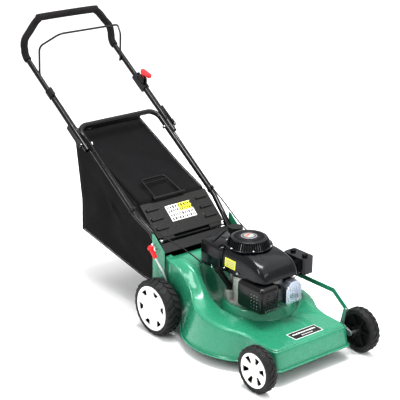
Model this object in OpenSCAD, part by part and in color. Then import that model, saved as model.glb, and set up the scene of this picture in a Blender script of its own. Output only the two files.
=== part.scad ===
// Walk-behind rotary lawn mower with a pressed-steel deck and a rear grass bag.
// Front faces -Y, the operator's left is +X, up is +Z. Lengths are millimetres.
// Chassis positions are measured from the ground point midway between the axles.

/* [Wheels] */
// Distance between the front and rear axles
wheelbase = 608; // [596:1:620]
// Front tyre radius
front_r = 89; // [86:0.5:90]
// Rear tyre radius
rear_r = 114; // [112:0.5:115]
// Front tyre width
front_w = 44; // [38:1:46]
// Rear tyre width
rear_w = 68; // [60:1:68]
// Outside track of the front wheels
front_track = 577; // [577:1:590]
// Outside track of the rear wheels
rear_track = 571; // [571:1:584]

/* [Deck] */
// Radius of the deck's skirt at its lip
lip_r = 272; // [268:1:274]
// Half width of the deck's nose
nose_half_w = 190; // [180:1:192]
// Sheet thickness of the deck
sheet = 3; // [2.5:0.5:3.5]
// Length of the blade
blade_l = 450; // [430:5:456]

/* [Handle] */
// Outside radius of the handle tubes
tube_r = 11; // [10.5:0.25:11]
// Wall of the handle tubes
tube_wall = 1.5; // [1.2:0.1:2]
// Distance between the upper handle's tube centres
upper_spacing = 455; // [455:1:460]
// Outside radius of the foam grip
grip_r = 16; // [14:0.5:16]

/* [Bag] */
// Half width of the grass bag
bag_half_w = 165; // [150:1:168]

/* [Hidden] */
$fn = 48;

// Running clearance between a pin and its bore
fit = 0.05;

// Axles
front_y = -wheelbase / 2;
rear_y = wheelbase / 2;
stub_r = 6;
axle_rod_r = 7;
front_rod = [front_y + 44, 105];
rear_rod = [rear_y + 46, 130];
link_arm = [-15, 73];
front_x = front_track / 2 - front_w / 2;
rear_x = rear_track / 2 - rear_w / 2;
front_cap_r = front_r * 0.76;
rear_cap_r = rear_r * 0.8;
arm_x = 205;
arm_w = 8;
link_x = 213.5;
link_t = 3;
link_pin_r = 4;

// Deck
deck_c = [30, 32];
crank = [5, 60];
platform_z = 170;
hub_hole_r = 45;
engine_bolt_ring = 82;
bolt_turn = 90;
bracket_x = 198.5;
bracket_t = 3;

// Handles
tube_x = upper_spacing / 2;
leg_x = tube_x - 2 * tube_r - 0.5;
foot_x = 186;
clamp = [830, 645];
leg_slope = 34.4;
function leg_z(y) = clamp[1] + (y - clamp[0]) * tan(leg_slope);
foot_end = [380, 316];
bracket_bolts = [[384, 320.7], [396, 334.7]];
grip_y = 1268;
bail_pivot = [1174, 871];
handle_run = [805, 628];
handle_bend = [1257, 936];
handle_slope = atan2(handle_bend[1] - handle_run[1], handle_bend[0] - handle_run[0]);

// Rear flap and bag
flap_hinge = [401, 336];
flap_half_w = 169;
flap_rod_r = 4;
ear_x = 171;

// Engine
boss = [-66, 84];
tube_top = [-106, 104, 296];
tube_foot = [boss[0], boss[1], platform_z + 55];

// The part's origin is under the middle of its overall length
front_reach = wheelbase / 2 + front_r;
rear_reach = grip_y + grip_r;
mid_y = (front_reach - rear_reach) / 2;

module at_chassis() translate([0, mid_y, 0]) children();

// ---- helpers -------------------------------------------------------------

function unit(v) = v / norm(v);
function side_axis(d) = abs(d[2]) < 0.9 ? unit(cross([0, 0, 1], d)) : [1, 0, 0];

// Places children with their own X, Y and Z along the given unit vectors
module frame_at(c, ex, ey, ez) {
    multmatrix([[ex[0], ey[0], ez[0], c[0]],
                [ex[1], ey[1], ez[1], c[1]],
                [ex[2], ey[2], ez[2], c[2]],
                [0, 0, 0, 1]]) children();
}

module ring_section(r, wall) {
    difference() {
        circle(r);
        if (wall > 0) circle(r - wall);
    }
}

// A straight round bar or tube between two points
module bar(a, b, r, wall = 0) {
    d = unit(b - a);
    ex = side_axis(d);
    ex2 = unit(ex - d * (ex * d));
    frame_at(a, ex2, cross(d, ex2), d)
        linear_extrude(norm(b - a)) ring_section(r, wall);
}

function turn(a, b, c) = acos(max(-1, min(1, unit(b - a) * unit(c - b))));
function trim_l(p, i, bend) =
    i == 0 || i == len(p) - 1 ? 0 : bend * tan(turn(p[i - 1], p[i], p[i + 1]) / 2);

// A bent round bar or tube along the points, with bends of one radius. The straights end just
// inside bends that are a hair thicker, so that the pieces always join into one solid.
bend_lap = 0.8;
bend_swell = 0.05;
module bent_tube(p, r, bend, wall = 0) {
    for (i = [0 : len(p) - 2]) {
        d = unit(p[i + 1] - p[i]);
        a = max(0, trim_l(p, i, bend) - bend_lap);
        b = max(0, trim_l(p, i + 1, bend) - bend_lap);
        bar(p[i] + d * a, p[i + 1] - d * b, r, wall);
    }
    for (i = [1 : len(p) - 2]) elbow(p[i - 1], p[i], p[i + 1], r, bend, wall);
}

module elbow(a, b, c, r, bend, wall) {
    d1 = unit(b - a);
    d2 = unit(c - b);
    ang = turn(a, b, c);
    start = b - d1 * bend * tan(ang / 2);
    centre = b + unit(d2 - d1) * bend / cos(ang / 2);
    e1 = unit(start - centre);
    frame_at(centre, e1, d1, cross(e1, d1))
        rotate_extrude(angle = ang) translate([bend, 0])
            ring_section(r + bend_swell, wall > 0 ? wall + 2 * bend_swell : 0);
}

function mirror_x(p) = [for (i = [len(p) - 1 : -1 : 0]) [-p[i][0], p[i][1], p[i][2]]];

// A round bar of radius r along X from x0 to x1 at [y, z]
module x_bar(x0, x1, at, r) {
    translate([x0, at[0], at[1]]) rotate([0, 90, 0]) cylinder(r = r, h = x1 - x0);
}

// A plate in the YZ plane from x0, t thick, with [y, z] outline points
module yz_plate(x0, t, pts)
    frame_at([x0, 0, 0], [0, 1, 0], [0, 0, 1], [1, 0, 0]) linear_extrude(t) polygon(pts);

module rounded_box(size, r) {
    linear_extrude(size[2]) hull()
        for (x = [r, size[0] - r], y = [r, size[1] - r]) translate([x, y]) circle(r, $fn = 24);
}

// A square-ended sweep with eight sides along a cable's route
CABLE_SIDES = 8;
function cable_dir(p, i) =
    unit(p[min(i + 1, len(p) - 1)] - p[max(i - 1, 0)]);
function cable_ring(p, i, r) =
    let (d = cable_dir(p, i), ex = unit(cross(d, [1, 0, 0.02])), ey = cross(d, ex))
    [for (k = [0 : CABLE_SIDES - 1])
        p[i] + r * (cos(k * 360 / CABLE_SIDES) * ex + sin(k * 360 / CABLE_SIDES) * ey)];
module cable(p, r) {
    n = len(p);
    pts = [for (i = [0 : n - 1]) each cable_ring(p, i, r)];
    sides = [for (i = [0 : n - 2], k = [0 : CABLE_SIDES - 1])
        let (a = i * CABLE_SIDES + k, b = i * CABLE_SIDES + (k + 1) % CABLE_SIDES)
        [a, a + CABLE_SIDES, b + CABLE_SIDES, b]];
    first = [[for (k = [0 : CABLE_SIDES - 1]) k]];
    last = [[for (k = [CABLE_SIDES - 1 : -1 : 0]) (n - 1) * CABLE_SIDES + k]];
    polyhedron(pts, concat(sides, first, last));
}

// ---- deck ----------------------------------------------------------------
// The deck is a sheet swept round its middle. Each direction has a profile from the
// lip up the side wall, over the ring and down the moat to the engine's platform.

STEPS = 72;
BLEND = 30;
function ray_plane(a, phi, d) = cos(a - phi) > 0.01 ? d / cos(a - phi) : 1e5;
function ray_circle(a, c, r) =
    let (m = c * [cos(a), sin(a)]) m + sqrt(r * r - c * c + m * m);
function soft_min(v) = pow([for (x = v) pow(x / 100, -BLEND)] * [for (x = v) 1], -1 / BLEND) * 100;
function soft_max(v) = pow([for (x = v) pow(x / 100, BLEND)] * [for (x = v) 1], 1 / BLEND) * 100;
// Distance from the deck's middle to the edge of a box with the given half width and ends
function ray_box(a, half_w, front, rear) =
    soft_min([ray_plane(a, 0, half_w - deck_c[0]), ray_plane(a, 180, half_w + deck_c[0]),
              ray_plane(a, 90, rear - deck_c[1]), ray_plane(a, 270, deck_c[1] - front)]);
function lip_edge(a) =
    soft_max([ray_box(a, nose_half_w, front_y - 26, 60), ray_circle(a, [-8, 25] - deck_c, lip_r),
              ray_box(a, 194, -20, 348)]);
function top_edge(a) =
    soft_max([ray_box(a, nose_half_w - 4, front_y - 5, 60),
              ray_circle(a, [-5, 12] - deck_c, lip_r - 29), ray_box(a, 188, -20, 344)]);
function at_y(a, r) = deck_c[1] + r * sin(a);
// Height of the lip, of the outer edge and of the ring's inner edge at a distance y
function lip_z(y) = lookup(y, [[-300, 57], [-200, 46], [-120, 42], [200, 42], [260, 70]]);
function edge_z(y) = lookup(y, [[-310, 134], [-204, 137], [-100, 156], [0, 165], [90, 174],
    [140, 192], [190, 226], [215, 254], [270, 282], [344, 292]]);
function crest_rise(y) = lookup(y, [[-200, 1], [0, 2], [140, 6], [215, 14], [344, 8]]);
function moat_r(a) = lookup(a, [[0, 166], [45, 215], [90, 236], [120, 236], [150, 178], [180, 156],
    [225, 152], [315, 152], [360, 166]]);
function moat_z(a) = lookup(a, [[0, 152], [45, 225], [75, 290], [105, 290], [125, 236], [150, 178],
    [180, 154], [225, 146], [280, 140], [330, 141], [360, 152]]);
function rear_open(a) = a > 70 && a < 120;

// Profile of the outside of the sheet in one direction, as [radius, height]
function profile(a) =
    let (rl = lip_edge(a), rt = top_edge(a), yt = at_y(a, rt), zt = edge_z(yt),
         zl = rear_open(a) ? zt - 30 : lip_z(at_y(a, rl)), rm = moat_r(a), zm = moat_z(a),
         zc = zt + crest_rise(yt), hole = ray_circle(a, crank - deck_c, hub_hole_r))
    [[rear_open(a) ? rt + 6 : rl, zl], [rear_open(a) ? rt + 3 : rl - 5, zl + 3],
     [rt + 4, zt - 14], [rt - 3, zt - 4], [rt - 14, zt], [(rt + rm) / 2, zc],
     [rm + 12, (zc + zm) / 2], [rm, zm - 6], [max(150, rm - 22), max(139, zm - 60)],
     [147, 138], [136, platform_z], [hole, platform_z]];

// The same profile moved inwards by the sheet's thickness
function edge_normal(p, i) =
    let (a = p[max(i - 1, 0)], b = p[min(i + 1, len(p) - 1)], d = unit(b - a)) [-d[1], d[0]];
function inner_profile(p) =
    [for (i = [0 : len(p) - 1]) i == 0 ? p[0] - [sheet, 0]
        : i == len(p) - 1 ? p[i] - [0, sheet] : p[i] + sheet * edge_normal(p, i)];

module deck_shell() {
    loops = [for (k = [0 : STEPS - 1])
        let (a = k * 360 / STEPS, p = profile(a), q = inner_profile(p), n = len(p))
        concat(p, [for (i = [n - 1 : -1 : 0]) q[i]])];
    m = len(loops[0]);
    pts = [for (k = [0 : STEPS - 1], s = loops[k]) let (a = k * 360 / STEPS)
        [deck_c[0] + s[0] * cos(a), deck_c[1] + s[0] * sin(a), s[1]]];
    quads = [for (k = [0 : STEPS - 1], i = [0 : m - 1])
        let (a = k * m + i, b = k * m + (i + 1) % m, c = ((k + 1) % STEPS) * m + (i + 1) % m,
             d = ((k + 1) % STEPS) * m + i)
        [a, b, c, d]];
    tris = [for (f = quads) each [[f[0], f[2], f[1]], [f[0], f[3], f[2]]]];
    polyhedron(pts, tris);
}

module deck() {
    at_chassis() color("mediumseagreen") difference() {
        deck_shell();
        for (s = [0 : 2]) translate([crank[0], crank[1], 0]) rotate(s * 120 + bolt_turn)
            translate([engine_bolt_ring, 0, platform_z - 10]) cylinder(r = 4.3, h = 20);
        x_bar(-nose_half_w - 20, nose_half_w + 20, front_rod, axle_rod_r + 3);
        x_bar(-bracket_x, bracket_x, rear_rod, axle_rod_r + 3);
    }
}

// Black plastic guard round the near side of the lip
module side_skirt() {
    at_chassis() color("black") translate([-8, 25, 30]) rotate([0, 0, 150])
        rotate_extrude(angle = 75) translate([lip_r - 14, 0]) square([3, 22]);
}

module rear_brackets() {
    at_chassis() color("mediumseagreen") for (s = [-1, 1]) difference() {
        yz_plate(s > 0 ? bracket_x : -bracket_x - bracket_t, bracket_t,
            [[325, 96], [403, 96], [403, 320], [406, 378], [394, 378], [325, 322]]);
        x_bar(-arm_x, arm_x, rear_rod, axle_rod_r + fit);
        for (at = bracket_bolts) x_bar(-arm_x, arm_x, at, bolt_r + 0.2);
    }
}

// Front plates carry the front axle outside the deck's nose
module front_brackets() {
    at_chassis() color("mediumseagreen") for (s = [-1, 1]) difference() {
        yz_plate(s > 0 ? nose_half_w + 1 : -nose_half_w - 1 - bracket_t, bracket_t,
            [[front_rod[0] - 30, 84], [front_rod[0] + 32, 84], [front_rod[0] + 32, 116],
             [front_rod[0] + 14, 127], [front_rod[0] - 12, 127], [front_rod[0] - 30, 116]]);
        x_bar(-arm_x, arm_x, front_rod, axle_rod_r + fit);
    }
}

// Black strip between the deck's rear edge and the flap's hinge, with ears for the hinge rod
module rear_panel() {
    at_chassis() color("#222222") difference() {
        union() {
            yz_strip(ear_x + 3, [352, 303], [390, 328], 3);
            for (s = [-1, 1]) yz_plate(s > 0 ? ear_x : -ear_x - 3, 3,
                [[374, 316], [390, 326], [409, 328], [409, 344], [393, 344]]);
        }
        x_bar(-ear_x - 4, ear_x + 4, flap_hinge, flap_rod_r + fit);
    }
}

// A flat sheet across the machine between two [y, z] edges
module yz_strip(half_w, a, b, t) {
    n = unit([a[1] - b[1], b[0] - a[0]]) * t;
    frame_at([-half_w, 0, 0], [0, 1, 0], [0, 0, 1], [1, 0, 0])
        linear_extrude(2 * half_w) polygon([a, b, b + n, a + n]);
}

module flap_rod() {
    at_chassis() color("silver") x_bar(-ear_x - 3, ear_x + 3, flap_hinge, flap_rod_r);
}

SPRING_TURNS = 5;
module flap_spring() {
    at_chassis() color("gray") for (s = [-1, 1], k = [0 : SPRING_TURNS - 1])
        translate([s * 159 + (k - 2) * 2.6, flap_hinge[0], flap_hinge[1]])
            rotate([0, 90, 0]) rotate_extrude() translate([6.2, 0]) circle(1.2);
}

// The lower handle: an arch between the deck's brackets, inside the upper tubes
module lower_handle() {
    half = [[-foot_x, foot_end[0], foot_end[1]], [-foot_x, 428, 372], [-leg_x, 508, leg_z(508)],
        [-leg_x, 910, leg_z(910)]];
    at_chassis() color("#1c1c1c") difference() {
        bent_tube(concat(half, mirror_x(half)), tube_r, 45, tube_wall);
        x_bar(-tube_x, tube_x, clamp, bolt_r + 0.2);
        for (at = bracket_bolts) x_bar(-tube_x, tube_x, at, bolt_r + 0.2);
    }
}

// Identical M8 hex bolts with washers
module hex_bolt(length, washer = true) {
    translate([0, 0, washer ? 1.5 : 0]) cylinder(r = 7.5, h = 5.3, $fn = 6);
    if (washer) cylinder(r = 8.5, h = 1.5);
    translate([0, 0, -length]) cylinder(r = 4, h = length);
}

// The engine's bolts, the handle's bolts in the brackets and the two clamp bolts with their nuts
module bolts() {
    at_chassis() color("silver") {
        for (k = [0 : 2]) translate([crank[0], crank[1], 0]) rotate(k * 120 + bolt_turn)
            translate([engine_bolt_ring, 0, platform_z + 12]) hex_bolt(24);
        for (s = [-1, 1], at = bracket_bolts)
            translate([s * (bracket_x + bracket_t), at[0], at[1]]) rotate([0, s * 90, 0])
                hex_bolt(14);
        for (s = [-1, 1]) {
            x_bar(s > 0 ? 186 : -cam_x, s > 0 ? cam_x : -186, clamp, bolt_r);
            translate([s * 190, clamp[0], clamp[1]]) rotate([0, 90, 0])
                cylinder(r = 7.5, h = 6, $fn = 6, center = true);
            at_cam(s) cylinder(r = cam_pin_r, h = 22, center = true);
        }
    }
}

module cable_clips() {
    d = unit([0, 1, tan(leg_slope)]);
    at_chassis() color("black") for (s = [-1, 1]) {
        c = [s * leg_x, 530, leg_z(530)];
        difference() {
            frame_at(c - d * 6, [1, 0, 0], cross(d, [1, 0, 0]), d) union() {
                cylinder(r = tube_r + 3, h = 12);
                translate([-5, -cable_lift - 5, 0]) cube([10, 12, 12]);
            }
            bar(c - d * 20, c + d * 20, tube_r + fit);
            frame_at(c - d * 20, [1, 0, 0], cross(d, [1, 0, 0]), d)
                translate([0, -cable_lift, 0]) cylinder(r = cable_r + 0.4, h = 40);
        }
    }
}

// Routes of the control cables, on the upper and the lower side of the folding clamp
cable_r = 2.5;
cable_lift = 17.4;
brake_upper = [[-227, 1041.5, 813.2], [-227, 1010, 791], [-227, 960, 758], [-227, 905, 720],
    [-225, 875, 700], [-221, 852, 684]];
brake_lower = [[-211, 838, 671], [-210, 790, 638], [-208, 720, 590], [-206, 640, 536],
    [-205, 560, 481.2], [-205, 530, 460.7], [-205, 510, 447], [-200, 460, 419],
    [-192, 410, 396], [-176, 350, 372], [-140, 290, 340], [-118, 240, 312], [-112, 200, 296]];
throttle_upper = [[227, 998, 783], [227, 975, 768], [227, 930, 737], [225, 875, 700],
    [221, 852, 684]];
throttle_lower = [[211, 838, 671], [210, 790, 638], [208, 720, 590], [206, 640, 536],
    [205, 560, 481.2], [205, 530, 460.7], [205, 510, 447], [206, 460, 419], [202, 410, 394],
    [190, 350, 372], [168, 270, 356], [150, 180, 340], [140, 100, 322], [134, 34, 306],
    [132, 6, 298]];
module brake_cable_upper() at_chassis() color("black") cable(brake_upper, cable_r);
module brake_cable_lower() at_chassis() color("black") cable(brake_lower, cable_r);
module throttle_cable_upper() at_chassis() color("black") cable(throttle_upper, cable_r);
module throttle_cable_lower() at_chassis() color("black") cable(throttle_lower, cable_r);

// ---- engine --------------------------------------------------------------

module at_crank() translate([crank[0], crank[1], 0]) children();

// Die-cast block: base flange, case, upright cylinder barrel and the oil filler boss
module crankcase() {
    at_chassis() color("silver") difference() {
        union() {
            at_crank() {
                translate([0, 0, platform_z]) cylinder(r = 94, h = 12);
                translate([0, 0, platform_z + 12]) cylinder(r = 71, h = 94);
                translate([-42, -150, 214]) cube([84, 110, 82]);
                for (k = [0 : 4]) translate([-50, -146 + k * 14, 208]) cube([100, 5, 90]);
            }
            translate([boss[0], boss[1], platform_z + 11]) cylinder(r = 21, h = 37);
        }
        at_crank() {
            translate([0, 0, platform_z + 16]) cylinder(r = 63, h = 86);
            translate([0, 0, platform_z - 1]) cylinder(r = 12.5 + fit, h = 140);
            translate([0, -160, 257]) rotate([-90, 0, 0]) cylinder(r = 32, h = 120);
            for (k = [0 : 2]) rotate(k * 120 + bolt_turn)
                translate([engine_bolt_ring, 0, platform_z - 1]) cylinder(r = 4.3, h = 14);
        }
        translate([boss[0], boss[1], platform_z + 20]) cylinder(r = 14, h = 110);
    }
}

module cylinder_head() {
    at_chassis() color("lightgray") {
        translate([-36, -112, 214]) cube([118, 22, 82]);
        for (k = [0 : 2]) translate([-40, -110 + k * 7, 210]) cube([126, 3.5, 88]);
    }
}

module rocker_cover() {
    at_chassis() color("gainsboro") translate([6, -112, 212]) rotate([90, 0, 0]) difference() {
        linear_extrude(46) rocker_outline();
        translate([0, 0, -1]) linear_extrude(44) offset(delta = -3) rocker_outline();
    }
}
module rocker_outline() polygon([[4, 0], [74, 0], [80, 8], [80, 66], [66, 80], [58, 88], [26, 88],
    [6, 72], [0, 62], [0, 6]]);

// Black cover over the cylinder, domed at the front, open below and under the starter
module shroud() {
    at_chassis() color("#15161c") difference() {
        shroud_form(0);
        shroud_form(3);
        at_crank() translate([0, 0, 340]) cylinder(r = 82, h = 90);
    }
}
module shroud_form(t) {
    w = 98 - t;
    frame_at([crank[0] - w + 4, 0, 0], [0, 1, 0], [0, 0, 1], [1, 0, 0]) linear_extrude(2 * w)
        polygon([[118 - t, 296 - t], [118 - t, 388 - t], [60, 394 - t], [-10, 388 - t],
            [-60, 374 - t], [-100 + t, 352 - t], [-124 + t, 324], [-126 + t, 304 - t]]);
}

rope_angle = 125;
module starter_cover() {
    at_chassis() color("#15161c") at_crank() difference() {
        rotate_extrude() polygon([[0, 425], [56, 425], [84, 398], [84, 395], [93, 395],
            [93, 398], [86, 401], [60, 428], [0, 428]]);
        for (k = [0 : 35]) rotate(k * 10) translate([66, -1.6, 390]) cube([13, 3.2, 45]);
        rotate(rope_angle) translate([60, 0, 408]) rotate([0, 90, 0]) cylinder(r = 5, h = 34);
    }
}

module fuel_tank() {
    at_chassis() color("#15161c") difference() {
        union() {
            translate([-106, 122, 280]) rounded_box([190, 122, 92], 22);
            translate([46, 186, 368]) cylinder(r = 24, h = 26);
        }
        translate([-103, 125, 283]) rounded_box([184, 116, 86], 19);
        translate([46, 186, 360]) cylinder(r = 20, h = 40);
    }
}

module fuel_cap() {
    at_chassis() color("#202128") translate([46, 186, 0]) difference() {
        union() {
            translate([0, 0, 396]) cylinder(r = 28, h = 22);
            for (k = [0 : 11]) rotate(k * 30) translate([27, 0, 396]) cylinder(r = 2.5, h = 22);
            translate([0, 0, 380]) cylinder(r = 18, h = 18);
        }
        translate([0, 0, 379]) cylinder(r = 15, h = 30);
    }
}

module oil_tube() {
    at_chassis() color("black") difference() {
        union() {
            bar(tube_foot, tube_top, 11);
            translate([boss[0], boss[1], platform_z + 34]) cylinder(r = 13.9, h = 26);
        }
        bar(tube_foot, tube_top + unit(tube_top - tube_foot), 8.5);
        translate([boss[0], boss[1], platform_z + 33]) cylinder(r = 7, h = 24);
    }
}

module dipstick() {
    d = unit(tube_top - tube_foot);
    at_chassis() color("black") {
        bar(tube_top + d * 0.3, tube_top + d * 14, 14);
        bar(tube_top - d * 72, tube_top + d * 1, 3);
    }
}

module muffler() {
    at_chassis() color("dimgray") {
        translate([-98, -132, 212]) rounded_box([50, 116, 76], 14);
        translate([-52, -101, 250]) rotate([0, 90, 0]) cylinder(r = 8, h = 12);
    }
}

// Perforated black guard round the muffler, reaching across in front of the head
module muffler_guard() {
    at_chassis() color("#0d0d10") difference() {
        translate([-112, -150, 198]) rounded_box([94, 146, 102], 16);
        translate([-109, -147, 195]) rounded_box([88, 160, 102], 13);
        translate([-45.5, -114, 190]) cube([40, 130, 120]);
        for (i = [0 : 2], j = [0 : 4])
            translate([-120, -40 + i * 12, 216 + j * 16]) rotate([0, 90, 0])
                cylinder(r = 3.5, h = 20);
        for (i = [0 : 4]) translate([-92 + i * 14, -160, 212]) rotate([-90, 0, 0])
            cylinder(r = 4, h = 20);
    }
}

module air_filter() {
    at_chassis() color("#17181d") difference() {
        translate([166, -76, 262]) rounded_box([64, 114, 68], 14);
        translate([169, -73, 265]) rounded_box([58, 108, 62], 11);
        x_bar(150, 172, intake, 14);
    }
}

module filter_knobs() {
    at_chassis() color("black") for (y = [-54, 12]) translate([198, y, 330]) {
        cylinder(r = 9, h = 6);
        for (k = [0 : 5]) rotate(k * 60) translate([5, -1.5, 1]) cube([6, 3, 7]);
    }
}

intake = [-20, 277];
module carburettor() {
    at_chassis() color("darkgray") {
        translate([112, -42, 252]) rounded_box([40, 44, 42], 8);
        x_bar(55.5, 168.5, intake, 12);
        translate([132, -20, 224]) cylinder(r = 17, h = 29);
        translate([122, -20, 293]) cylinder(r = 4, h = 6);
        translate([116, -38, 298]) cube([24, 22, 3]);
    }
}

module spark_plug() {
    at_chassis() color("black") translate([-6, -112, 284]) rotate([90, 0, 0]) {
        cylinder(r = 5, h = 14);
        translate([0, 0, 12]) cylinder(r = 8, h = 24);
    }
}

// ---- wheels and axles ----------------------------------------------------

// A tyre on its black wheel: tread, side walls, web and hub round the stub axle
module wheel(r, w, cap_r) {
    rotate([0, 90, 0]) rotate_extrude() polygon([
        [stub_r + fit, -w / 2], [18, -w / 2], [20, -w / 2 + 8], [r * 0.62, -w / 2 + 14],
        [r * 0.66, -w / 2 + 3], [r * 0.92, -w / 2], [r * 0.985, -w / 2 + w * 0.14],
        [r, -w / 2 + w * 0.3], [r, w / 2 - w * 0.3], [r * 0.985, w / 2 - w * 0.14],
        [r * 0.92, w / 2], [cap_r + 1, w / 2 - 2], [cap_r + 1, w / 2 - 12],
        [20, w / 2 - 16], [stub_r + fit, w / 2 - 16]]);
}

// A white wheel cover with six windows
module hubcap(w, cap_r, window) {
    rotate([0, 90, 0]) difference() {
        rotate_extrude() polygon([[0, w / 2 - 9], [cap_r * 0.5, w / 2 - 8.5],
            [cap_r - 1, w / 2 - 4], [cap_r, w / 2 - 1], [cap_r - 4, w / 2],
            [cap_r * 0.5, w / 2 - 4], [14, w / 2 - 5], [0, w / 2 - 4]]);
        for (k = [0 : 5]) rotate(k * 60 + 20) translate([0, 0, w / 2 - 20])
            linear_extrude(30) polygon([[cap_r * window, -cap_r * 0.07],
                [cap_r * 0.84, -cap_r * 0.19], [cap_r * 0.84, cap_r * 0.19],
                [cap_r * window, cap_r * 0.07]]);
    }
}

module front_wheel_at(s) translate([s * front_x, front_y, front_r]) scale_x(s) children();
module rear_wheel_at(s) translate([s * rear_x, rear_y, rear_r]) scale_x(s) children();
module scale_x(s) {
    if (s > 0) children();
    else mirror([1, 0, 0]) children();
}
module front_tyre(s) {
    at_chassis() color("#1a1a1a") front_wheel_at(s) wheel(front_r, front_w, front_cap_r);
}
module rear_tyre(s) {
    at_chassis() color("#1a1a1a") rear_wheel_at(s) wheel(rear_r, rear_w, rear_cap_r);
}
module front_cap(s) {
    at_chassis() color("whitesmoke") front_wheel_at(s) hubcap(front_w, front_cap_r, 0.42);
}
module rear_cap(s) {
    at_chassis() color("whitesmoke") rear_wheel_at(s) hubcap(rear_w, rear_cap_r, 0.62);
}

// A cranked axle: a rod through the brackets with an arm and a wheel stub at each end
module cranked_axle(rod, stub, reach) {
    x_bar(-arm_x - 2, arm_x + 2, rod, axle_rod_r);
    for (s = [-1, 1]) {
        x0 = s > 0 ? arm_x : -arm_x - arm_w;
        frame_at([x0, 0, 0], [0, 1, 0], [0, 0, 1], [1, 0, 0]) linear_extrude(arm_w) hull() {
            translate(rod) circle(11, $fn = 32);
            translate(stub) circle(10, $fn = 32);
        }
        x_bar(s > 0 ? arm_x + 2 : -reach, s > 0 ? reach : -arm_x - 2, stub, stub_r);
    }
}

module link_lug(rod) {
    tip = rod + link_arm;
    frame_at([arm_x, 0, 0], [0, 1, 0], [0, 0, 1], [1, 0, 0]) linear_extrude(5) hull() {
        translate(rod) circle(9, $fn = 32);
        translate(tip) circle(8, $fn = 32);
    }
    x_bar(arm_x + 2, link_x + link_t + 0.3, tip, link_pin_r);
}

lever_route = [[-arm_x - 4, rear_rod[0], rear_rod[1]], [-arm_x - 4, 304, 208],
    [-212, 318, 244], [-226, 344, 292], [-232, 352, 312]];
lever_end = lever_route[4];
lever_dir = unit(lever_end - lever_route[3]);
module rear_axle() {
    at_chassis() color("silver") {
        cranked_axle(rear_rod, [rear_y, rear_r], rear_track / 2 - 18);
        link_lug(rear_rod);
        bent_tube(lever_route, 4.5, 16);
    }
}

module lever_grip() {
    at_chassis() color("red") difference() {
        union() {
            bar(lever_end - lever_dir * 12, lever_end + lever_dir * 32, 9);
            translate(lever_end + lever_dir * 32) sphere(12.5);
        }
        bar(lever_end - lever_dir * 14, lever_end + lever_dir * 0.2, 4.5 + fit);
    }
}

module front_axle() {
    at_chassis() color("silver") {
        cranked_axle(front_rod, [front_y, front_r], front_track / 2 - 12);
        link_lug(front_rod);
    }
}

// Flat bar that ties the two axles together on the left side
module link_bar() {
    a = rear_rod + link_arm;
    b = front_rod + link_arm;
    route = [b, [b[0] + 74, 232], [a[0] - 60, 232], a];
    at_chassis() color("mediumseagreen") difference() {
        union() {
            for (i = [0 : 2]) frame_at([link_x, 0, 0], [0, 1, 0], [0, 0, 1], [1, 0, 0])
                linear_extrude(link_t) hull() {
                    translate(route[i]) circle(9, $fn = 32);
                    translate(route[i + 1]) circle(9, $fn = 32);
                }
        }
        x_bar(link_x - 5, link_x + 10, a, link_pin_r + fit);
        x_bar(link_x - 5, link_x + 10, b, link_pin_r + 0.8);
    }
}

// ---- crankshaft and blade ------------------------------------------------

module crankshaft() {
    at_chassis() color("silver") at_crank() {
        translate([0, 0, 92]) cylinder(r = 12.5, h = 300);
        for (z = [222, 252]) translate([0, 0, z]) cylinder(r = 42, h = 10);
    }
}

module flywheel() {
    at_chassis() color("gray") at_crank() difference() {
        union() {
            translate([0, 0, 318]) cylinder(r = 53, h = 14);
            for (k = [0 : 17]) rotate(k * 20) translate([34, -1.5, 330]) cube([18, 3, 24]);
        }
        translate([0, 0, 300]) cylinder(r = 12.5, h = 60);
    }
}

module starter_pulley() {
    at_chassis() color("white") at_crank() difference() {
        rotate_extrude() polygon([[13, 396], [44, 396], [44, 399], [32, 401.5], [32, 404.5],
            [44, 407], [44, 410], [13, 410]]);
    }
}

module blade_hub() {
    at_chassis() color("dimgray") at_crank() difference() {
        union() {
            translate([0, 0, 74]) cylinder(r = 20, h = 34);
            translate([-38, -16, 66]) cube([76, 32, 8]);
        }
        translate([0, 0, 92]) cylinder(r = 12.5, h = 30);
        translate([0, 0, 50]) cylinder(r = 5, h = 60);
    }
}

// Cutting blade with raised tips at its trailing edges
module blade() {
    at_chassis() color("#555555") at_crank() difference() {
        union() {
            translate([-blade_l / 2, -28, 62]) cube([blade_l, 56, 4]);
            for (s = [0, 180]) rotate(s) translate([blade_l / 2 - 90, -28, 62])
                rotate([-35, 0, 0]) translate([0, -16, 0]) cube([86, 17, 4]);
        }
        translate([0, 0, 55]) cylinder(r = 5, h = 20);
    }
}

module blade_bolt() {
    at_chassis() color("silver") at_crank() {
        translate([0, 0, 59]) cylinder(r = 16, h = 3);
        translate([0, 0, 51]) cylinder(r = 9, h = 8, $fn = 6);
        translate([0, 0, 62]) cylinder(r = 4.9, h = 29);
    }
}

// ---- upper handle and controls ------------------------------------------

handle_half = [[-tube_x, handle_run[0], handle_run[1]], [-tube_x, handle_bend[0], handle_bend[1]],
    [-tube_x, grip_y, 1000], [-150, grip_y, 1092]];
module upper_handle() {
    at_chassis() color("#1c1c1c") difference() {
        bent_tube(concat(handle_half, mirror_x(handle_half)), tube_r, 50, tube_wall);
        x_bar(-tube_x - 20, tube_x + 20, clamp, bolt_r + fit);
        x_bar(-tube_x, tube_x, bail_pivot, bail_pin_r + fit);
    }
}

// The grip starts part of the way up the tube's last bend and crosses to the other side
grip_start = handle_half[1] + (handle_half[2] - handle_half[1]) * 0.4;
grip_half = [grip_start, handle_half[2], handle_half[3]];
grip_play = 0.15;
module foam_grip() {
    at_chassis() color("#2a2728")
        bent_tube(concat(grip_half, mirror_x(grip_half)), grip_r, 50, grip_r - tube_r - grip_play);
}

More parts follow.
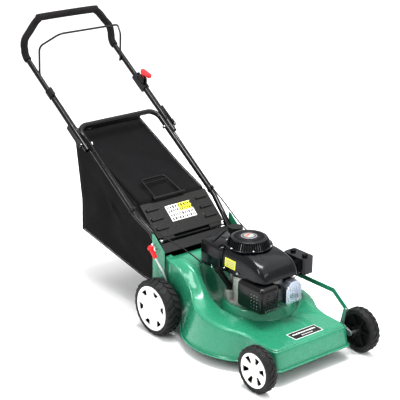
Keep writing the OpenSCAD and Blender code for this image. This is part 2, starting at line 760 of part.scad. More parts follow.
// Puts children on the upper tube: local +Z away from the tube, local Y up along it
module on_tube(x, y) {
    z = handle_run[1] + (y - handle_run[0]) * tan(handle_slope);
    translate([x, y, z]) rotate([handle_slope, 0, 0]) children();
}

module cable_bracket() {
    at_chassis() color("black") on_tube(-tube_x, 1070) {
        difference() {
            union() {
                rotate([90, 0, 0]) cylinder(r = 14.5, h = 40, center = true);
                translate([-6, -20, 8]) cube([12, 40, 15]);
            }
            rotate([90, 0, 0]) cylinder(r = tube_r + 0.1, h = 60, center = true);
        }
    }
}

throttle_y = 1046;
throttle_axis = 24;
module throttle_box() {
    at_chassis() color("black") on_tube(tube_x, throttle_y) difference() {
        union() {
            translate([-14, -44, -14]) cube([28, 88, 30]);
            translate([-12, 0, 14]) rotate([0, 90, 0]) cylinder(r = 24, h = 24);
        }
        rotate([90, 0, 0]) cylinder(r = tube_r + 0.1, h = 120, center = true);
        translate([-5, -60, 12]) cube([10, 120, 60]);
    }
}

// A stem in the box's slot and a long paddle reaching forward over the tube
module throttle_lever() {
    at_chassis() color("red") on_tube(tube_x, throttle_y) {
        translate([-4, 0, throttle_axis]) rotate([0, 90, 0]) cylinder(r = 9, h = 8);
        translate([-4, 0, throttle_axis]) rotate([55, 0, 0]) translate([0, 2, -4]) cube([8, 34, 9]);
        translate([-10, 20, 46]) rotate([-19, 0, 0]) translate([0, -62, 0])
            rounded_box([20, 62, 13], 6);
    }
}

// Bail: a bent wire in front of the grip, on pins in the upper tubes
bail_r = 4;
bail_pin_r = 3;
bail_x = tube_x - tube_r - 4.5;
bail_half = [[-bail_x, bail_pivot[0], bail_pivot[1]], [-bail_x, bail_pivot[0] - 4, 992],
    [-150, 1106, 1050]];
module bail() {
    at_chassis() color("#1c1c1c") {
        bent_tube(concat(bail_half, mirror_x(bail_half)), bail_r, 40);
        for (s = [-1, 1]) {
            translate([s * bail_x, bail_pivot[0], bail_pivot[1]]) rotate([0, 90, 0])
                cylinder(r = bail_r + 1, h = 7, center = true);
            x_bar(s > 0 ? bail_x : -tube_x, s > 0 ? tube_x : -bail_x, bail_pivot, bail_pin_r);
        }
    }
}

// Quick-release lever: a cam on a cross pin at the end of the clamp bolt
cam_x = tube_x + tube_r + 7.5;
cam_pin_r = 3;
bolt_r = 4;
module at_cam(s) translate([s * cam_x, clamp[0], clamp[1]]) rotate([handle_slope, 0, 0]) children();
module cam_lever(s) {
    at_chassis() color("black") at_cam(s) difference() {
        union() {
            for (z = [-11, 5]) translate([0, 0, z]) cylinder(r = 7, h = 6);
            translate([s > 0 ? -6 : -5, 5, -11]) cube([11, 22, 22]);
            translate([s > 0 ? -5 : -3, 26, -9]) cube([8, 82, 18]);
        }
        cylinder(r = cam_pin_r + fit, h = 60, center = true);
    }
}

// ---- rear flap and bag ---------------------------------------------------

flap_foot = flap_hinge + [5, 12];
flap_top = [529, 453];
module flap() {
    at_chassis() color("#26272b") difference() {
        union() {
            yz_strip(flap_half_w, flap_foot, flap_top, 3);
            for (s = [-1, 1], k = [0 : 2]) flap_rib(s, 0.2 + k * 0.28);
            for (s = [-1, 1]) x_bar(s > 0 ? 90 : -150, s > 0 ? 150 : -90, flap_hinge, 8);
            for (s = [-1, 1]) yz_plate(s > 0 ? 92 : -148, 56,
                [flap_hinge + [-6, 2], flap_hinge + [5, -3], flap_foot + [16, 11],
                 flap_foot + [2, 5]]);
        }
        x_bar(-ear_x, ear_x, flap_hinge, flap_rod_r + fit);
    }
}

module flap_rib(s, f) {
    at = flap_foot + (flap_top - flap_foot) * f;
    slope = atan2(flap_top[1] - flap_foot[1], flap_top[0] - flap_foot[0]);
    translate([s > 0 ? 96 : -156, at[0], at[1]]) rotate([slope, 0, 0])
        translate([0, 0, 1]) cube([60, 12, 8]);
}

// The filled grass bag: a hollow fabric shell, open at its mouth
bag_side = [[414, 146], [508, 148], [944, 226], [941, 360], [986, 640], [972, 661], [700, 528],
    [543, 463], [527, 442], [414, 343]];
module bag() {
    at_chassis() color("#1b1a1c") difference() {
        yz_plate(-bag_half_w, 2 * bag_half_w, bag_side);
        frame_at([-bag_half_w + 3, 0, 0], [0, 1, 0], [0, 0, 1], [1, 0, 0])
            linear_extrude(2 * bag_half_w - 6) bag_inside();
    }
}
module bag_inside() {
    offset(delta = -3) polygon(bag_side);
    polygon([[400, 151], [440, 152], [440, 362], [400, 327]]);
}

// Steel wire frame inside the bag, with its mouth ring
module bag_frame() {
    w = bag_half_w - 8;
    wire = 4;
    loop = [[-w, 424, 158], [-w, 424, 340], [-w, 534, 438], [-w, 960, 640],
        [w, 960, 640], [w, 534, 438], [w, 424, 340], [w, 424, 158]];
    at_chassis() color("gray") {
        bent_tube(loop, wire, 12);
        x_bar(-w, w, [424, 160], wire - 0.6);
        x_bar(-w, w, [445, 358.7], wire - 0.6);
    }
}

// Wire carry handle lying on the bag, hinged at its rear bar, with a plastic grip in front
handle_rear = [637, 512];
handle_front = [526, 468];
handle_mid = -22;
module bag_handle() {
    brace = handle_rear + (handle_front - handle_rear) * 0.2;
    at_chassis() color("black") translate([handle_mid, 0, 0]) {
        bent_tube([[-68, handle_front[0], handle_front[1]], [-59, handle_rear[0], handle_rear[1]],
            [59, handle_rear[0], handle_rear[1]], [68, handle_front[0], handle_front[1]]], 4, 14);
        x_bar(-60.5, 60.5, brace, 3.2);
        x_bar(-82, 82, handle_front, 7);
    }
}

// T-shaped starter grip with the knotted end of its rope
module rope_grip() {
    at_chassis() color("#202128") {
        bar([-105, 147, 405], [-30, 167, 425], 7);
        bar([-50, 138.5, 408.6], [-67, 157, 415], 3);
    }
}

module front_left_tyre() front_tyre(1);
module front_right_tyre() front_tyre(-1);
module rear_left_tyre() rear_tyre(1);
module rear_right_tyre() rear_tyre(-1);
module front_left_hubcap() front_cap(1);
module front_right_hubcap() front_cap(-1);
module rear_left_hubcap() rear_cap(1);
module rear_right_hubcap() rear_cap(-1);
module cam_lever_left() cam_lever(1);
module cam_lever_right() cam_lever(-1);

deck();
side_skirt();
rear_brackets();
front_brackets();
rear_panel();
flap_rod();
flap_spring();
lower_handle();
bolts();
cable_clips();
brake_cable_lower();
throttle_cable_lower();
crankcase();
cylinder_head();
rocker_cover();
shroud();
starter_cover();
fuel_tank();
oil_tube();
muffler();
muffler_guard();
air_filter();
filter_knobs();
carburettor();
spark_plug();
front_left_tyre();
front_right_tyre();
rear_left_tyre();
rear_right_tyre();
front_left_hubcap();
front_right_hubcap();
rear_left_hubcap();
rear_right_hubcap();
rear_axle();
lever_grip();
front_axle();
link_bar();
crankshaft();
flywheel();
blade();
blade_hub();
blade_bolt();
upper_handle();
foam_grip();
cable_bracket();
throttle_box();
brake_cable_upper();
throttle_cable_upper();
bail();
throttle_lever();
cam_lever_left();
cam_lever_right();
flap();
bag();
bag_frame();
bag_handle();
rope_grip();
starter_pulley();
fuel_cap();
dipstick();
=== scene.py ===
"""Looks of a push lawn mower: finishes, cloth, cables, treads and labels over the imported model."""
import math
import random

import bmesh
import bpy
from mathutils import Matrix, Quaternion, Vector, noise
from mathutils.bvhtree import BVHTree


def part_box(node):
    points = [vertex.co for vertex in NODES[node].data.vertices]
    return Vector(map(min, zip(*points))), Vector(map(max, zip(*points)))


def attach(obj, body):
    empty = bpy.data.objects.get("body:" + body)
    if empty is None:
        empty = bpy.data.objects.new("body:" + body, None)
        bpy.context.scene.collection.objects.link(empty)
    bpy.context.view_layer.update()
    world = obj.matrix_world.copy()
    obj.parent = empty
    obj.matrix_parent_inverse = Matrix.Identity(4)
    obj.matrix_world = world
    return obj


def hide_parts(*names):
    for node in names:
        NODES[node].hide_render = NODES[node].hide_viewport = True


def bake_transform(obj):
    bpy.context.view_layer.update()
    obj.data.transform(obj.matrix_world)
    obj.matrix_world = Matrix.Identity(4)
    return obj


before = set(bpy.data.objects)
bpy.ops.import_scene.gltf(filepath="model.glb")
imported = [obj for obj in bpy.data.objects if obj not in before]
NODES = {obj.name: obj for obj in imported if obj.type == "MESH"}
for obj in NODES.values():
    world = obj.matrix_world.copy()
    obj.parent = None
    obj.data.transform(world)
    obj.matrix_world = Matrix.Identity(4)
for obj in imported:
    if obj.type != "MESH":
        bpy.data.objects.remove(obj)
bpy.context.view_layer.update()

MM = 0.001
MID_Y = 445.5  # millimetres from the origin to the middle of the wheelbase


def spot(x, y, z):
    """A point given in millimetres from the middle of the wheelbase, in the row frame."""
    return Vector((x * MM, (y - MID_Y) * MM, z * MM))


# ---- node materials -------------------------------------------------------

class Finish:
    """A Principled material under construction, with the textures that feed it."""

    def __init__(self, name, metallic=0.0, coat=0.0, sheen=0.0, specular=0.5):
        self.material = bpy.data.materials.new(name)
        self.material.use_nodes = True
        self.tree = self.material.node_tree
        self.shader = self.tree.nodes["Principled BSDF"]
        self.shader.inputs["Metallic"].default_value = metallic
        self.shader.inputs["Coat Weight"].default_value = coat
        self.shader.inputs["Coat Roughness"].default_value = 0.06
        self.shader.inputs["Sheen Weight"].default_value = sheen
        self.shader.inputs["Specular IOR Level"].default_value = specular
        self.coords = self.node("ShaderNodeTexCoord")
        self.place = self.coords.outputs["Object"]
        self.normal = None

    def node(self, kind, **settings):
        made = self.tree.nodes.new(kind)
        for key, value in settings.items():
            setattr(made, key, value)
        return made

    def wire(self, source, target):
        self.tree.links.new(source, target)

    def noise(self, scale, detail=3.0, roughness=0.5, stretch=None):
        made = self.node("ShaderNodeTexNoise")
        made.inputs["Scale"].default_value = scale
        made.inputs["Detail"].default_value = detail
        made.inputs["Roughness"].default_value = roughness
        self.wire(self.stretched(stretch), made.inputs["Vector"])
        return made.outputs["Fac"]

    def stretched(self, stretch):
        if stretch is None:
            return self.place
        mapping = self.node("ShaderNodeMapping")
        mapping.inputs["Scale"].default_value = stretch
        self.wire(self.place, mapping.inputs["Vector"])
        return mapping.outputs["Vector"]

    def cells(self, scale):
        made = self.node("ShaderNodeTexVoronoi")
        made.inputs["Scale"].default_value = scale
        self.wire(self.place, made.inputs["Vector"])
        return made.outputs["Distance"]

    def bands(self, scale, direction, coords="UV"):
        made = self.node("ShaderNodeTexWave", bands_direction=direction)
        made.inputs["Scale"].default_value = scale
        self.wire(self.coords.outputs[coords], made.inputs["Vector"])
        return made.outputs["Fac"]

    def math(self, operation, a, b):
        made = self.node("ShaderNodeMath", operation=operation)
        for socket, value in zip(made.inputs, (a, b)):
            if isinstance(value, (int, float)):
                socket.default_value = value
            else:
                self.wire(value, socket)
        return made.outputs[0]

    def color(self, source, dark, light, low=0.3, high=0.7):
        ramp = self.node("ShaderNodeValToRGB")
        first, last = ramp.color_ramp.elements
        first.position, last.position = low, high
        first.color = (*dark, 1.0)
        last.color = (*light, 1.0)
        self.wire(source, ramp.inputs["Fac"])
        return ramp.outputs["Color"]

    def mix(self, factor, a, b):
        made = self.node("ShaderNodeMix", data_type="RGBA")
        self.wire(factor, made.inputs["Factor"])
        self.wire(a, made.inputs["A"])
        self.wire(b, made.inputs["B"])
        return made.outputs["Result"]

    def base(self, source):
        self.wire(source, self.shader.inputs["Base Color"])

    def rough(self, source, low, high):
        made = self.node("ShaderNodeMapRange")
        made.inputs["From Min"].default_value = 0.25
        made.inputs["From Max"].default_value = 0.75
        made.inputs["To Min"].default_value = low
        made.inputs["To Max"].default_value = high
        self.wire(source, made.inputs["Value"])
        self.wire(made.outputs["Result"], self.shader.inputs["Roughness"])

    def bump(self, height, distance, strength=1.0):
        made = self.node("ShaderNodeBump")
        made.inputs["Distance"].default_value = distance
        made.inputs["Strength"].default_value = strength
        self.wire(height, made.inputs["Height"])
        if self.normal is not None:
            self.wire(self.normal, made.inputs["Normal"])
        self.normal = made.outputs["Normal"]
        self.wire(self.normal, self.shader.inputs["Normal"])


def scaled(color, factor):
    return tuple(min(1.0, c * factor) for c in color)


def gloss_enamel(name, color, rough=0.26, coat=0.5, spread=0.04):
    """Sprayed enamel: slow colour drift, orange peel and a clear top."""
    f = Finish(name, coat=coat, specular=0.4)
    drift = f.noise(9, 3.0)
    f.base(f.color(drift, scaled(color, 1 - spread), scaled(color, 1 + spread)))
    f.rough(f.noise(40, 4.0, 0.6), rough - 0.05, rough + 0.07)
    f.bump(f.noise(420, 2.0), 0.00010, 0.35)
    return f.material


def moulded_plastic(name, color, rough=0.42, grain=1400, depth=0.00012, coat=0.0):
    """Moulded plastic: fine spark grain, flow marks and slight shine changes."""
    f = Finish(name, coat=coat, specular=0.35)
    flow = f.noise(14, 4.0, 0.6, stretch=(1.0, 1.0, 3.0))
    f.base(f.color(flow, scaled(color, 0.88), scaled(color, 1.12)))
    f.rough(f.noise(55, 5.0, 0.65), rough - 0.07, rough + 0.08)
    f.bump(f.noise(grain, 2.0, 0.6), depth, 0.5)
    return f.material


def bare_metal(name, color, rough, grain=(1.0, 1.0, 22.0), scale=60, depth=0.00005):
    """Plated or brushed metal with fine drawn lines and handling marks."""
    f = Finish(name, metallic=1.0)
    lines = f.noise(scale, 6.0, 0.7, stretch=grain)
    f.base(f.color(lines, scaled(color, 0.80), scaled(color, 1.10)))
    f.rough(f.noise(35, 5.0, 0.7), rough - 0.08, rough + 0.12)
    f.bump(lines, depth, 0.4)
    return f.material


def cast_metal(name, color, rough=0.5, depth=0.0005):
    """Sand-cast aluminium or iron: pitted, with dull and bright patches."""
    f = Finish(name, metallic=0.7)
    skin = f.noise(260, 5.0, 0.65)
    patches = f.noise(30, 4.0, 0.6)
    f.base(f.color(patches, scaled(color, 0.62), scaled(color, 1.10)))
    f.rough(skin, rough - 0.12, rough + 0.15)
    f.bump(skin, depth, 0.6)
    return f.material


def tyre_rubber():
    f = Finish("tyre rubber", specular=0.35, sheen=0.04)
    dust = f.noise(45, 5.0, 0.7)
    f.base(f.color(dust, (0.010, 0.010, 0.011), (0.026, 0.026, 0.027)))
    f.rough(f.noise(90, 4.0, 0.6), 0.50, 0.72)
    f.bump(f.noise(900, 4.0, 0.7), 0.0002, 0.5)
    return f.material


def grip_foam():
    f = Finish("grip foam", specular=0.2, sheen=0.05)
    f.shader.inputs["Sheen Roughness"].default_value = 0.6
    f.base(f.color(f.noise(35, 4.0), (0.0085, 0.0075, 0.0080), (0.017, 0.015, 0.016)))
    f.rough(f.noise(300, 3.0), 0.78, 0.95)
    f.bump(f.cells(620), 0.0006, 0.55)
    f.bump(f.noise(30, 2.0), 0.0012, 0.35)
    return f.material


def bag_cloth(name, yarn=520.0, dark=(0.0034, 0.0030, 0.0036), light=(0.0105, 0.0095, 0.0110)):
    """Coarse plain-weave polyester: crossing yarns, slubs and a dull sheen."""
    f = Finish(name, sheen=0.05, specular=0.18)
    f.shader.inputs["Sheen Roughness"].default_value = 0.45
    weft = f.bands(yarn, "X")
    warp = f.bands(yarn, "Y")
    weave = f.math("MULTIPLY", weft, warp)
    f.base(f.mix(weave, f.color(f.noise(22, 5.0, 0.65), dark, scaled(dark, 1.6)),
                 f.color(f.noise(90, 4.0, 0.6), scaled(light, 0.8), light)))
    f.rough(f.noise(160, 4.0, 0.7), 0.62, 0.86)
    f.bump(weave, 0.00035, 0.7)
    f.bump(f.noise(120, 4.0, 0.6), 0.0006, 0.4)
    return f.material


def printed(name, color, rough=0.32):
    """A printed film: nearly flat colour, faint ink mottle and slight ripples."""
    f = Finish(name, coat=0.3)
    f.base(f.color(f.noise(240, 3.0), scaled(color, 0.93), scaled(color, 1.04)))
    f.rough(f.noise(70, 3.0), rough - 0.05, rough + 0.08)
    f.bump(f.noise(60, 2.0), 0.0003, 0.2)
    return f.material


GREEN = (0.034, 0.250, 0.150)
green_paint = gloss_enamel("green enamel", GREEN, rough=0.27, coat=0.55, spread=0.05)
black_tube = gloss_enamel("black enamel", (0.0045, 0.0045, 0.0050), rough=0.22, coat=0.15, spread=0.25)
engine_black = gloss_enamel("engine black", (0.0030, 0.0036, 0.0060), rough=0.20, coat=0.14, spread=0.2)
black_plastic = moulded_plastic("black plastic", (0.0060, 0.0060, 0.0065), rough=0.38)
flap_plastic = moulded_plastic("flap plastic", (0.0095, 0.0088, 0.0085), rough=0.30, coat=0.1)
white_plastic = moulded_plastic("white plastic", (0.80, 0.79, 0.77), rough=0.38)
red_plastic = moulded_plastic("red plastic", (0.62, 0.022, 0.028), rough=0.30, coat=0.3)
casting = cast_metal("cast aluminium", (0.56, 0.55, 0.53))
iron = cast_metal("dark iron", (0.10, 0.10, 0.10), rough=0.55)
steel = bare_metal("zinc plate", (0.62, 0.63, 0.65), 0.34)
chrome = bare_metal("bright chrome", (0.82, 0.82, 0.83), 0.16)
silver_lid = bare_metal("pressed silver lid", (0.55, 0.60, 0.68), 0.30, grain=(1, 1, 1), scale=300)
rubber = tyre_rubber()
foam = grip_foam()
cloth = bag_cloth("bag weave")
hem_cloth = bag_cloth("bag hem", yarn=420.0, light=(0.012, 0.012, 0.013))
thread = printed("bag thread", (0.022, 0.022, 0.024), rough=0.6)
cable_jacket = moulded_plastic("cable jacket", (0.010, 0.010, 0.011), rough=0.48)
rope_fibre = moulded_plastic("starter rope", (0.03, 0.03, 0.032), rough=0.8, grain=2200, depth=0.0004)

SLOTS = {
    "green_paint": green_paint, "black_tube": black_tube, "black_plastic": black_plastic,
    "engine_black": engine_black, "casting": casting, "steel": steel, "chrome": chrome,
    "iron": iron, "tyre": rubber, "white_plastic": white_plastic, "red_plastic": red_plastic,
    "foam": foam, "cloth": cloth,
}
SPECIAL = {"rocker_cover": silver_lid, "flap": flap_plastic, "flap_rod": black_tube}


# ---- carried-over CAD parts ------------------------------------------------

def clear_import_normals(mesh):
    """Drops the imported split normals, so that shading follows the rounded edges."""
    kept = mesh.attributes.get("custom_normal")
    if kept is not None:
        mesh.attributes.remove(kept)


def round_edges(obj, width, angle=32, segments=2):
    """Joins the CAD faces and rounds the edges a little, as on any real part."""
    weld = obj.modifiers.new("join", "WELD")
    weld.merge_threshold = 2e-5
    if width:
        bevel = obj.modifiers.new("round", "BEVEL")
        bevel.limit_method = "ANGLE"
        bevel.angle_limit = math.radians(angle)
        bevel.width = width * MM
        bevel.segments = segments
        bevel.harden_normals = True
    else:
        split = obj.modifiers.new("crease", "EDGE_SPLIT")
        split.split_angle = math.radians(angle)


ROUNDING = {
    "fuel_tank": 3.0, "shroud": 2.2, "starter_cover": 0.6, "air_filter": 4.5, "muffler": 2.0,
    "muffler_guard": 5.0, "rocker_cover": 0.7, "throttle_box": 1.6, "flap": 0.7,
    "cylinder_head": 0.4, "crankcase": 0.8, "cam_lever_left": 1.6, "cam_lever_right": 1.6,
    "rear_brackets": 0.8, "front_brackets": 0.8, "link_bar": 0.7, "rear_panel": 0.8,
    "fuel_cap": 1.2, "rope_grip": 1.5, "lever_grip": 0.6, "throttle_lever": 0.8,
    "front_left_hubcap": 0.6, "front_right_hubcap": 0.6, "rear_left_hubcap": 0.7,
    "rear_right_hubcap": 0.7, "cable_clips": 0.5, "cable_bracket": 0.6, "dipstick": 0.8,
}


def dress_cad_parts():
    for name, obj in NODES.items():
        old = obj.data.materials[0].name.split(".")[0] if obj.data.materials else "steel"
        obj.data.materials.clear()
        obj.data.materials.append(SPECIAL.get(name, SLOTS.get(old, steel)))
        clear_import_normals(obj.data)
        obj.data.polygons.foreach_set("use_smooth", [True] * len(obj.data.polygons))
        round_edges(obj, ROUNDING.get(name, 0.3))


# ---- mesh helpers ----------------------------------------------------------

def lookup(x, table):
    if x <= table[0][0]:
        return table[0][1]
    for (x0, y0), (x1, y1) in zip(table, table[1:]):
        if x <= x1:
            return y0 + (y1 - y0) * (x - x0) / (x1 - x0)
    return table[-1][1]


def spline(points, steps, closed=False):
    """A Catmull-Rom curve through the points, with the given steps in each span."""
    n = len(points)
    out = []
    spans = n if closed else n - 1
    for i in range(spans):
        pick = [points[(i + k) % n] if closed else points[min(max(i + k, 0), n - 1)]
                for k in (-1, 0, 1, 2)]
        a, b, c, d = (Vector(p) for p in pick)
        for s in range(steps):
            t = s / steps
            out.append(0.5 * (2 * b + (c - a) * t + (2 * a - 5 * b + 4 * c - d) * t * t
                              + (3 * b - a - 3 * c + d) * t ** 3))
    if not closed:
        out.append(Vector(points[-1]))
    return out


def new_object(name, verts, faces, material, smooth=True, uvs=None):
    """A mesh object in the scene, made from points and faces in metres."""
    mesh = bpy.data.meshes.new(name)
    mesh.from_pydata([tuple(v) for v in verts], [], faces)
    mesh.update()
    if smooth:
        mesh.polygons.foreach_set("use_smooth", [True] * len(mesh.polygons))
    obj = bpy.data.objects.new(name, mesh)
    bpy.context.scene.collection.objects.link(obj)
    for m in (material if isinstance(material, (list, tuple)) else [material]):
        mesh.materials.append(m)
    if uvs is not None:
        layer = mesh.uv_layers.new(name="UVMap")
        for loop in mesh.loops:
            layer.data[loop.index].uv = uvs[loop.vertex_index]
    return obj


def tube_mesh(points, radius, sides=12, closed=False):
    """Vertices and faces of a round tube along the points, with flat ends."""
    points = [Vector(p) for p in points]
    n = len(points)
    verts, faces = [], []
    across = None
    for i, p in enumerate(points):
        before = points[i - 1] if closed or i else points[0]
        after = points[(i + 1) % n] if closed or i < n - 1 else points[-1]
        along = (after - before).normalized()
        if across is None:
            across = along.orthogonal().normalized()
        across = (across - along * across.dot(along)).normalized()
        up = along.cross(across)
        r = radius(i / (n - 1)) if callable(radius) else radius
        for k in range(sides):
            a = 2 * math.pi * k / sides
            verts.append(p + r * (math.cos(a) * across + math.sin(a) * up))
    rings = n if closed else n - 1
    for i in range(rings):
        j = (i + 1) % n
        for k in range(sides):
            m = (k + 1) % sides
            faces.append((i * sides + k, i * sides + m, j * sides + m, j * sides + k))
    if not closed:
        faces.append(tuple(range(sides - 1, -1, -1)))
        faces.append(tuple((n - 1) * sides + k for k in range(sides)))
    return verts, faces


def tube(name, points, radius, material, sides=12, closed=False):
    return new_object(name, *tube_mesh(points, radius, sides, closed), material)


def gather(parts):
    """Joins (vertices, faces) pairs into one pair."""
    verts, faces = [], []
    for v, f in parts:
        start = len(verts)
        verts.extend(v)
        faces.extend(tuple(i + start for i in face) for face in f)
    return verts, faces


def revolve(profile, axis_point, steps):
    """A closed surface from (radius, x) points turned about a line along X."""
    verts, faces = [], []
    n = len(profile)
    for k in range(steps):
        a = 2 * math.pi * k / steps
        for r, x in profile:
            verts.append(axis_point + Vector((x, r * math.cos(a), r * math.sin(a))))
    for k in range(steps):
        m = (k + 1) % steps
        for i in range(n):
            j = (i + 1) % n
            faces.append((k * n + i, k * n + j, m * n + j, m * n + i))
    return verts, faces


# ---- deck ------------------------------------------------------------------

DECK_MID = (30, 32)
CRANK = (5, 60)
PLATFORM_Z = 170
HUB_HOLE = 45
NOSE_HALF = 190
FRONT_Y = -304
LIP_R = 272
SHEET = 3
TURNS = 240
BLEND_POWER = 30
LIP_Z = [(-300, 57), (-200, 46), (-120, 42), (200, 42), (260, 70)]
EDGE_Z = [(-310, 134), (-204, 137), (-100, 156), (0, 165), (90, 174), (140, 192), (190, 226),
          (215, 254), (270, 282), (344, 292)]
CREST = [(-200, 1), (0, 2), (140, 6), (215, 14), (344, 8)]
MOAT_R = [(0, 166), (45, 215), (90, 236), (120, 236), (150, 178), (180, 156), (225, 152),
          (315, 152), (360, 166)]
MOAT_Z = [(0, 152), (45, 225), (75, 290), (105, 290), (125, 236), (150, 178), (180, 154),
          (225, 146), (280, 140), (330, 141), (360, 152)]


def ray_plane(a, phi, d):
    lean = math.cos(math.radians(a - phi))
    return d / lean if lean > 0.01 else 1e5


def ray_circle(a, c, r):
    m = c[0] * math.cos(math.radians(a)) + c[1] * math.sin(math.radians(a))
    return m + math.sqrt(r * r - c[0] ** 2 - c[1] ** 2 + m * m)


def power_blend(values, power):
    return sum((v / 100) ** power for v in values) ** (1 / power) * 100


def ray_box(a, half_w, front, rear):
    return power_blend([ray_plane(a, 0, half_w - DECK_MID[0]), ray_plane(a, 180, half_w + DECK_MID[0]),
                        ray_plane(a, 90, rear - DECK_MID[1]),
                        ray_plane(a, 270, DECK_MID[1] - front)], -BLEND_POWER)


def from_mid(x, y):
    return (x - DECK_MID[0], y - DECK_MID[1])


def lip_edge(a):
    return power_blend([ray_box(a, NOSE_HALF, FRONT_Y - 26, 60),
                        ray_circle(a, from_mid(-8, 25), LIP_R), ray_box(a, 194, -20, 348)],
                       BLEND_POWER)


def top_edge(a):
    return power_blend([ray_box(a, NOSE_HALF - 4, FRONT_Y - 5, 60),
                        ray_circle(a, from_mid(-5, 12), LIP_R - 29),
                        ray_box(a, 188, -20, 344)], BLEND_POWER)


def at_y(a, r):
    return DECK_MID[1] + r * math.sin(math.radians(a))


def rear_open(a):
    return 70 < a < 120


def deck_profile(a):
    """The sheet's outside in one direction, as (radius, height) from lip to platform."""
    rl, rt = lip_edge(a), top_edge(a)
    yt = at_y(a, rt)
    zt = lookup(yt, EDGE_Z)
    zl = zt - 30 if rear_open(a) else lookup(at_y(a, rl), LIP_Z)
    rm, zm = lookup(a, MOAT_R), lookup(a, MOAT_Z)
    zc = zt + lookup(yt, CREST)
    hole = ray_circle(a, from_mid(*CRANK), HUB_HOLE)
    foot = rt + 6 if rear_open(a) else rl
    return [(foot, zl), (foot - 4, zl + 3), (rt + 4, zt - 14), (rt - 3, zt - 4), (rt - 14, zt),
            ((rt + rm) / 2, zc), (rm + 12, (zc + zm) / 2), (rm, zm - 6),
            (max(150, rm - 22), max(139, zm - 60)), (147, 138), (139, 160),
            (134, 172), (127, 174), (121, PLATFORM_Z), (hole, PLATFORM_Z)]


def deck_points():
    """Rings of points round the deck, smoothed along each profile and round each turn."""
    rows = []
    for k in range(TURNS):
        a = k * 360 / TURNS
        profile = [(r, z, 0) for r, z in deck_profile(a)]
        rows.append([(p.x, p.y) for p in spline(profile[1:-1], 5)])
        rows[-1].insert(0, profile[0][:2])
        rows[-1].append(profile[-1][:2])
    return rows


def smooth_round(rows, passes=3):
    """Evens out the turns of the spiral, away from the lip and the discharge opening."""
    n = len(rows)
    for _ in range(passes):
        blurred = []
        for k in range(n):
            row = []
            for i, (r, z) in enumerate(rows[k]):
                before, after = rows[k - 1][i], rows[(k + 1) % n][i]
                share = 0.5 if i > 14 else 0.0
                row.append((r * (1 - share) + share * (before[0] + after[0]) / 2,
                            z * (1 - share) + share * (before[1] + after[1]) / 2))
            blurred.append(row)
        rows = blurred
    return rows


def build_deck():
    """The pressed steel deck: one shell swept from its profile, and the bead along its lip."""
    rows = smooth_round(deck_points(), 8)
    verts = []
    for k, row in enumerate(rows):
        a = math.radians(k * 360 / TURNS)
        for r, z in row:
            verts.append(spot(DECK_MID[0] + r * math.cos(a), DECK_MID[1] + r * math.sin(a), z))
    m = len(rows[0])
    faces = []
    for k in range(TURNS):
        j = (k + 1) % TURNS
        for i in range(m - 1):
            faces.append((k * m + i, j * m + i, j * m + i + 1, k * m + i + 1))
    deck = new_object("deck_shell", verts, faces, green_paint)
    skin = deck.modifiers.new("sheet", "SOLIDIFY")
    skin.thickness = SHEET * MM
    skin.offset = -1
    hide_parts("deck")
    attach(deck, "chassis")
    bead = []
    for k in range(TURNS):
        a = k * 360 / TURNS
        if not 68 < a < 122:
            r = lip_edge(a) + 1.5
            bead.append(spot(DECK_MID[0] + r * math.cos(math.radians(a)),
                             DECK_MID[1] + r * math.sin(math.radians(a)),
                             lookup(at_y(a, r), LIP_Z) + 1.0))
    cut = next(i for i in range(TURNS) if i * 360 / TURNS >= 68)
    bead = bead[cut:] + bead[:cut]
    lip = tube("deck_lip_bead", bead, 3.6 * MM, green_paint, sides=10)
    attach(lip, "chassis")
    return deck


# ---- labels ----------------------------------------------------------------

def surface_of(*objs):
    """One ray-casting surface made of several objects as they are shown."""
    verts, faces = [], []
    graph = bpy.context.evaluated_depsgraph_get()
    for obj in objs:
        evaluated = obj.evaluated_get(graph)
        mesh = evaluated.to_mesh()
        start = len(verts)
        verts.extend(obj.matrix_world @ v.co for v in mesh.vertices)
        faces.extend([i + start for i in p.vertices] for p in mesh.polygons)
        evaluated.to_mesh_clear()
    return BVHTree.FromPolygons(verts, faces)


def rounded_rect(w, h, r, corner_steps=4):
    out = []
    for cx, cy, start in ((w / 2 - r, h / 2 - r, 0), (r - w / 2, h / 2 - r, 90),
                          (r - w / 2, r - h / 2, 180), (w / 2 - r, r - h / 2, 270)):
        for k in range(corner_steps + 1):
            a = math.radians(start + 90 * k / corner_steps)
            out.append((cx + r * math.cos(a), cy + r * math.sin(a)))
    return out


def patch(centre, right, up, w, h, lift, surface, cell=6.0):
    """A thin plate w by h laid on a surface, following its shape. Sizes in millimetres."""
    nx, ny = max(2, round(w / cell) + 1), max(2, round(h / cell) + 1)
    normal = right.cross(up).normalized()
    verts, faces = [], []
    for j in range(ny):
        for i in range(nx):
            p = centre + right * (w * (i / (nx - 1) - 0.5)) * MM + up * (h * (j / (ny - 1) - 0.5)) * MM
            if surface is not None:
                hit = surface.ray_cast(p + normal * 0.03, -normal, 0.08)[0]
                p = hit if hit is not None else p
            verts.append(p + normal * lift * MM)
    top = len(verts)
    verts.extend([v - normal * (lift + 0.3) * MM for v in verts])
    for j in range(ny - 1):
        for i in range(nx - 1):
            a = j * nx + i
            faces.append((a, a + 1, a + nx + 1, a + nx))
            faces.append((a + top, a + nx + top, a + nx + 1 + top, a + 1 + top))
    rim = ([i for i in range(nx)] + [j * nx + nx - 1 for j in range(1, ny)]
           + [(ny - 1) * nx + i for i in range(nx - 2, -1, -1)] + [j * nx for j in range(ny - 2, 0, -1)])
    for a, b in zip(rim, rim[1:] + rim[:1]):
        faces.append((a, a + top, b + top, b))
    return verts, faces


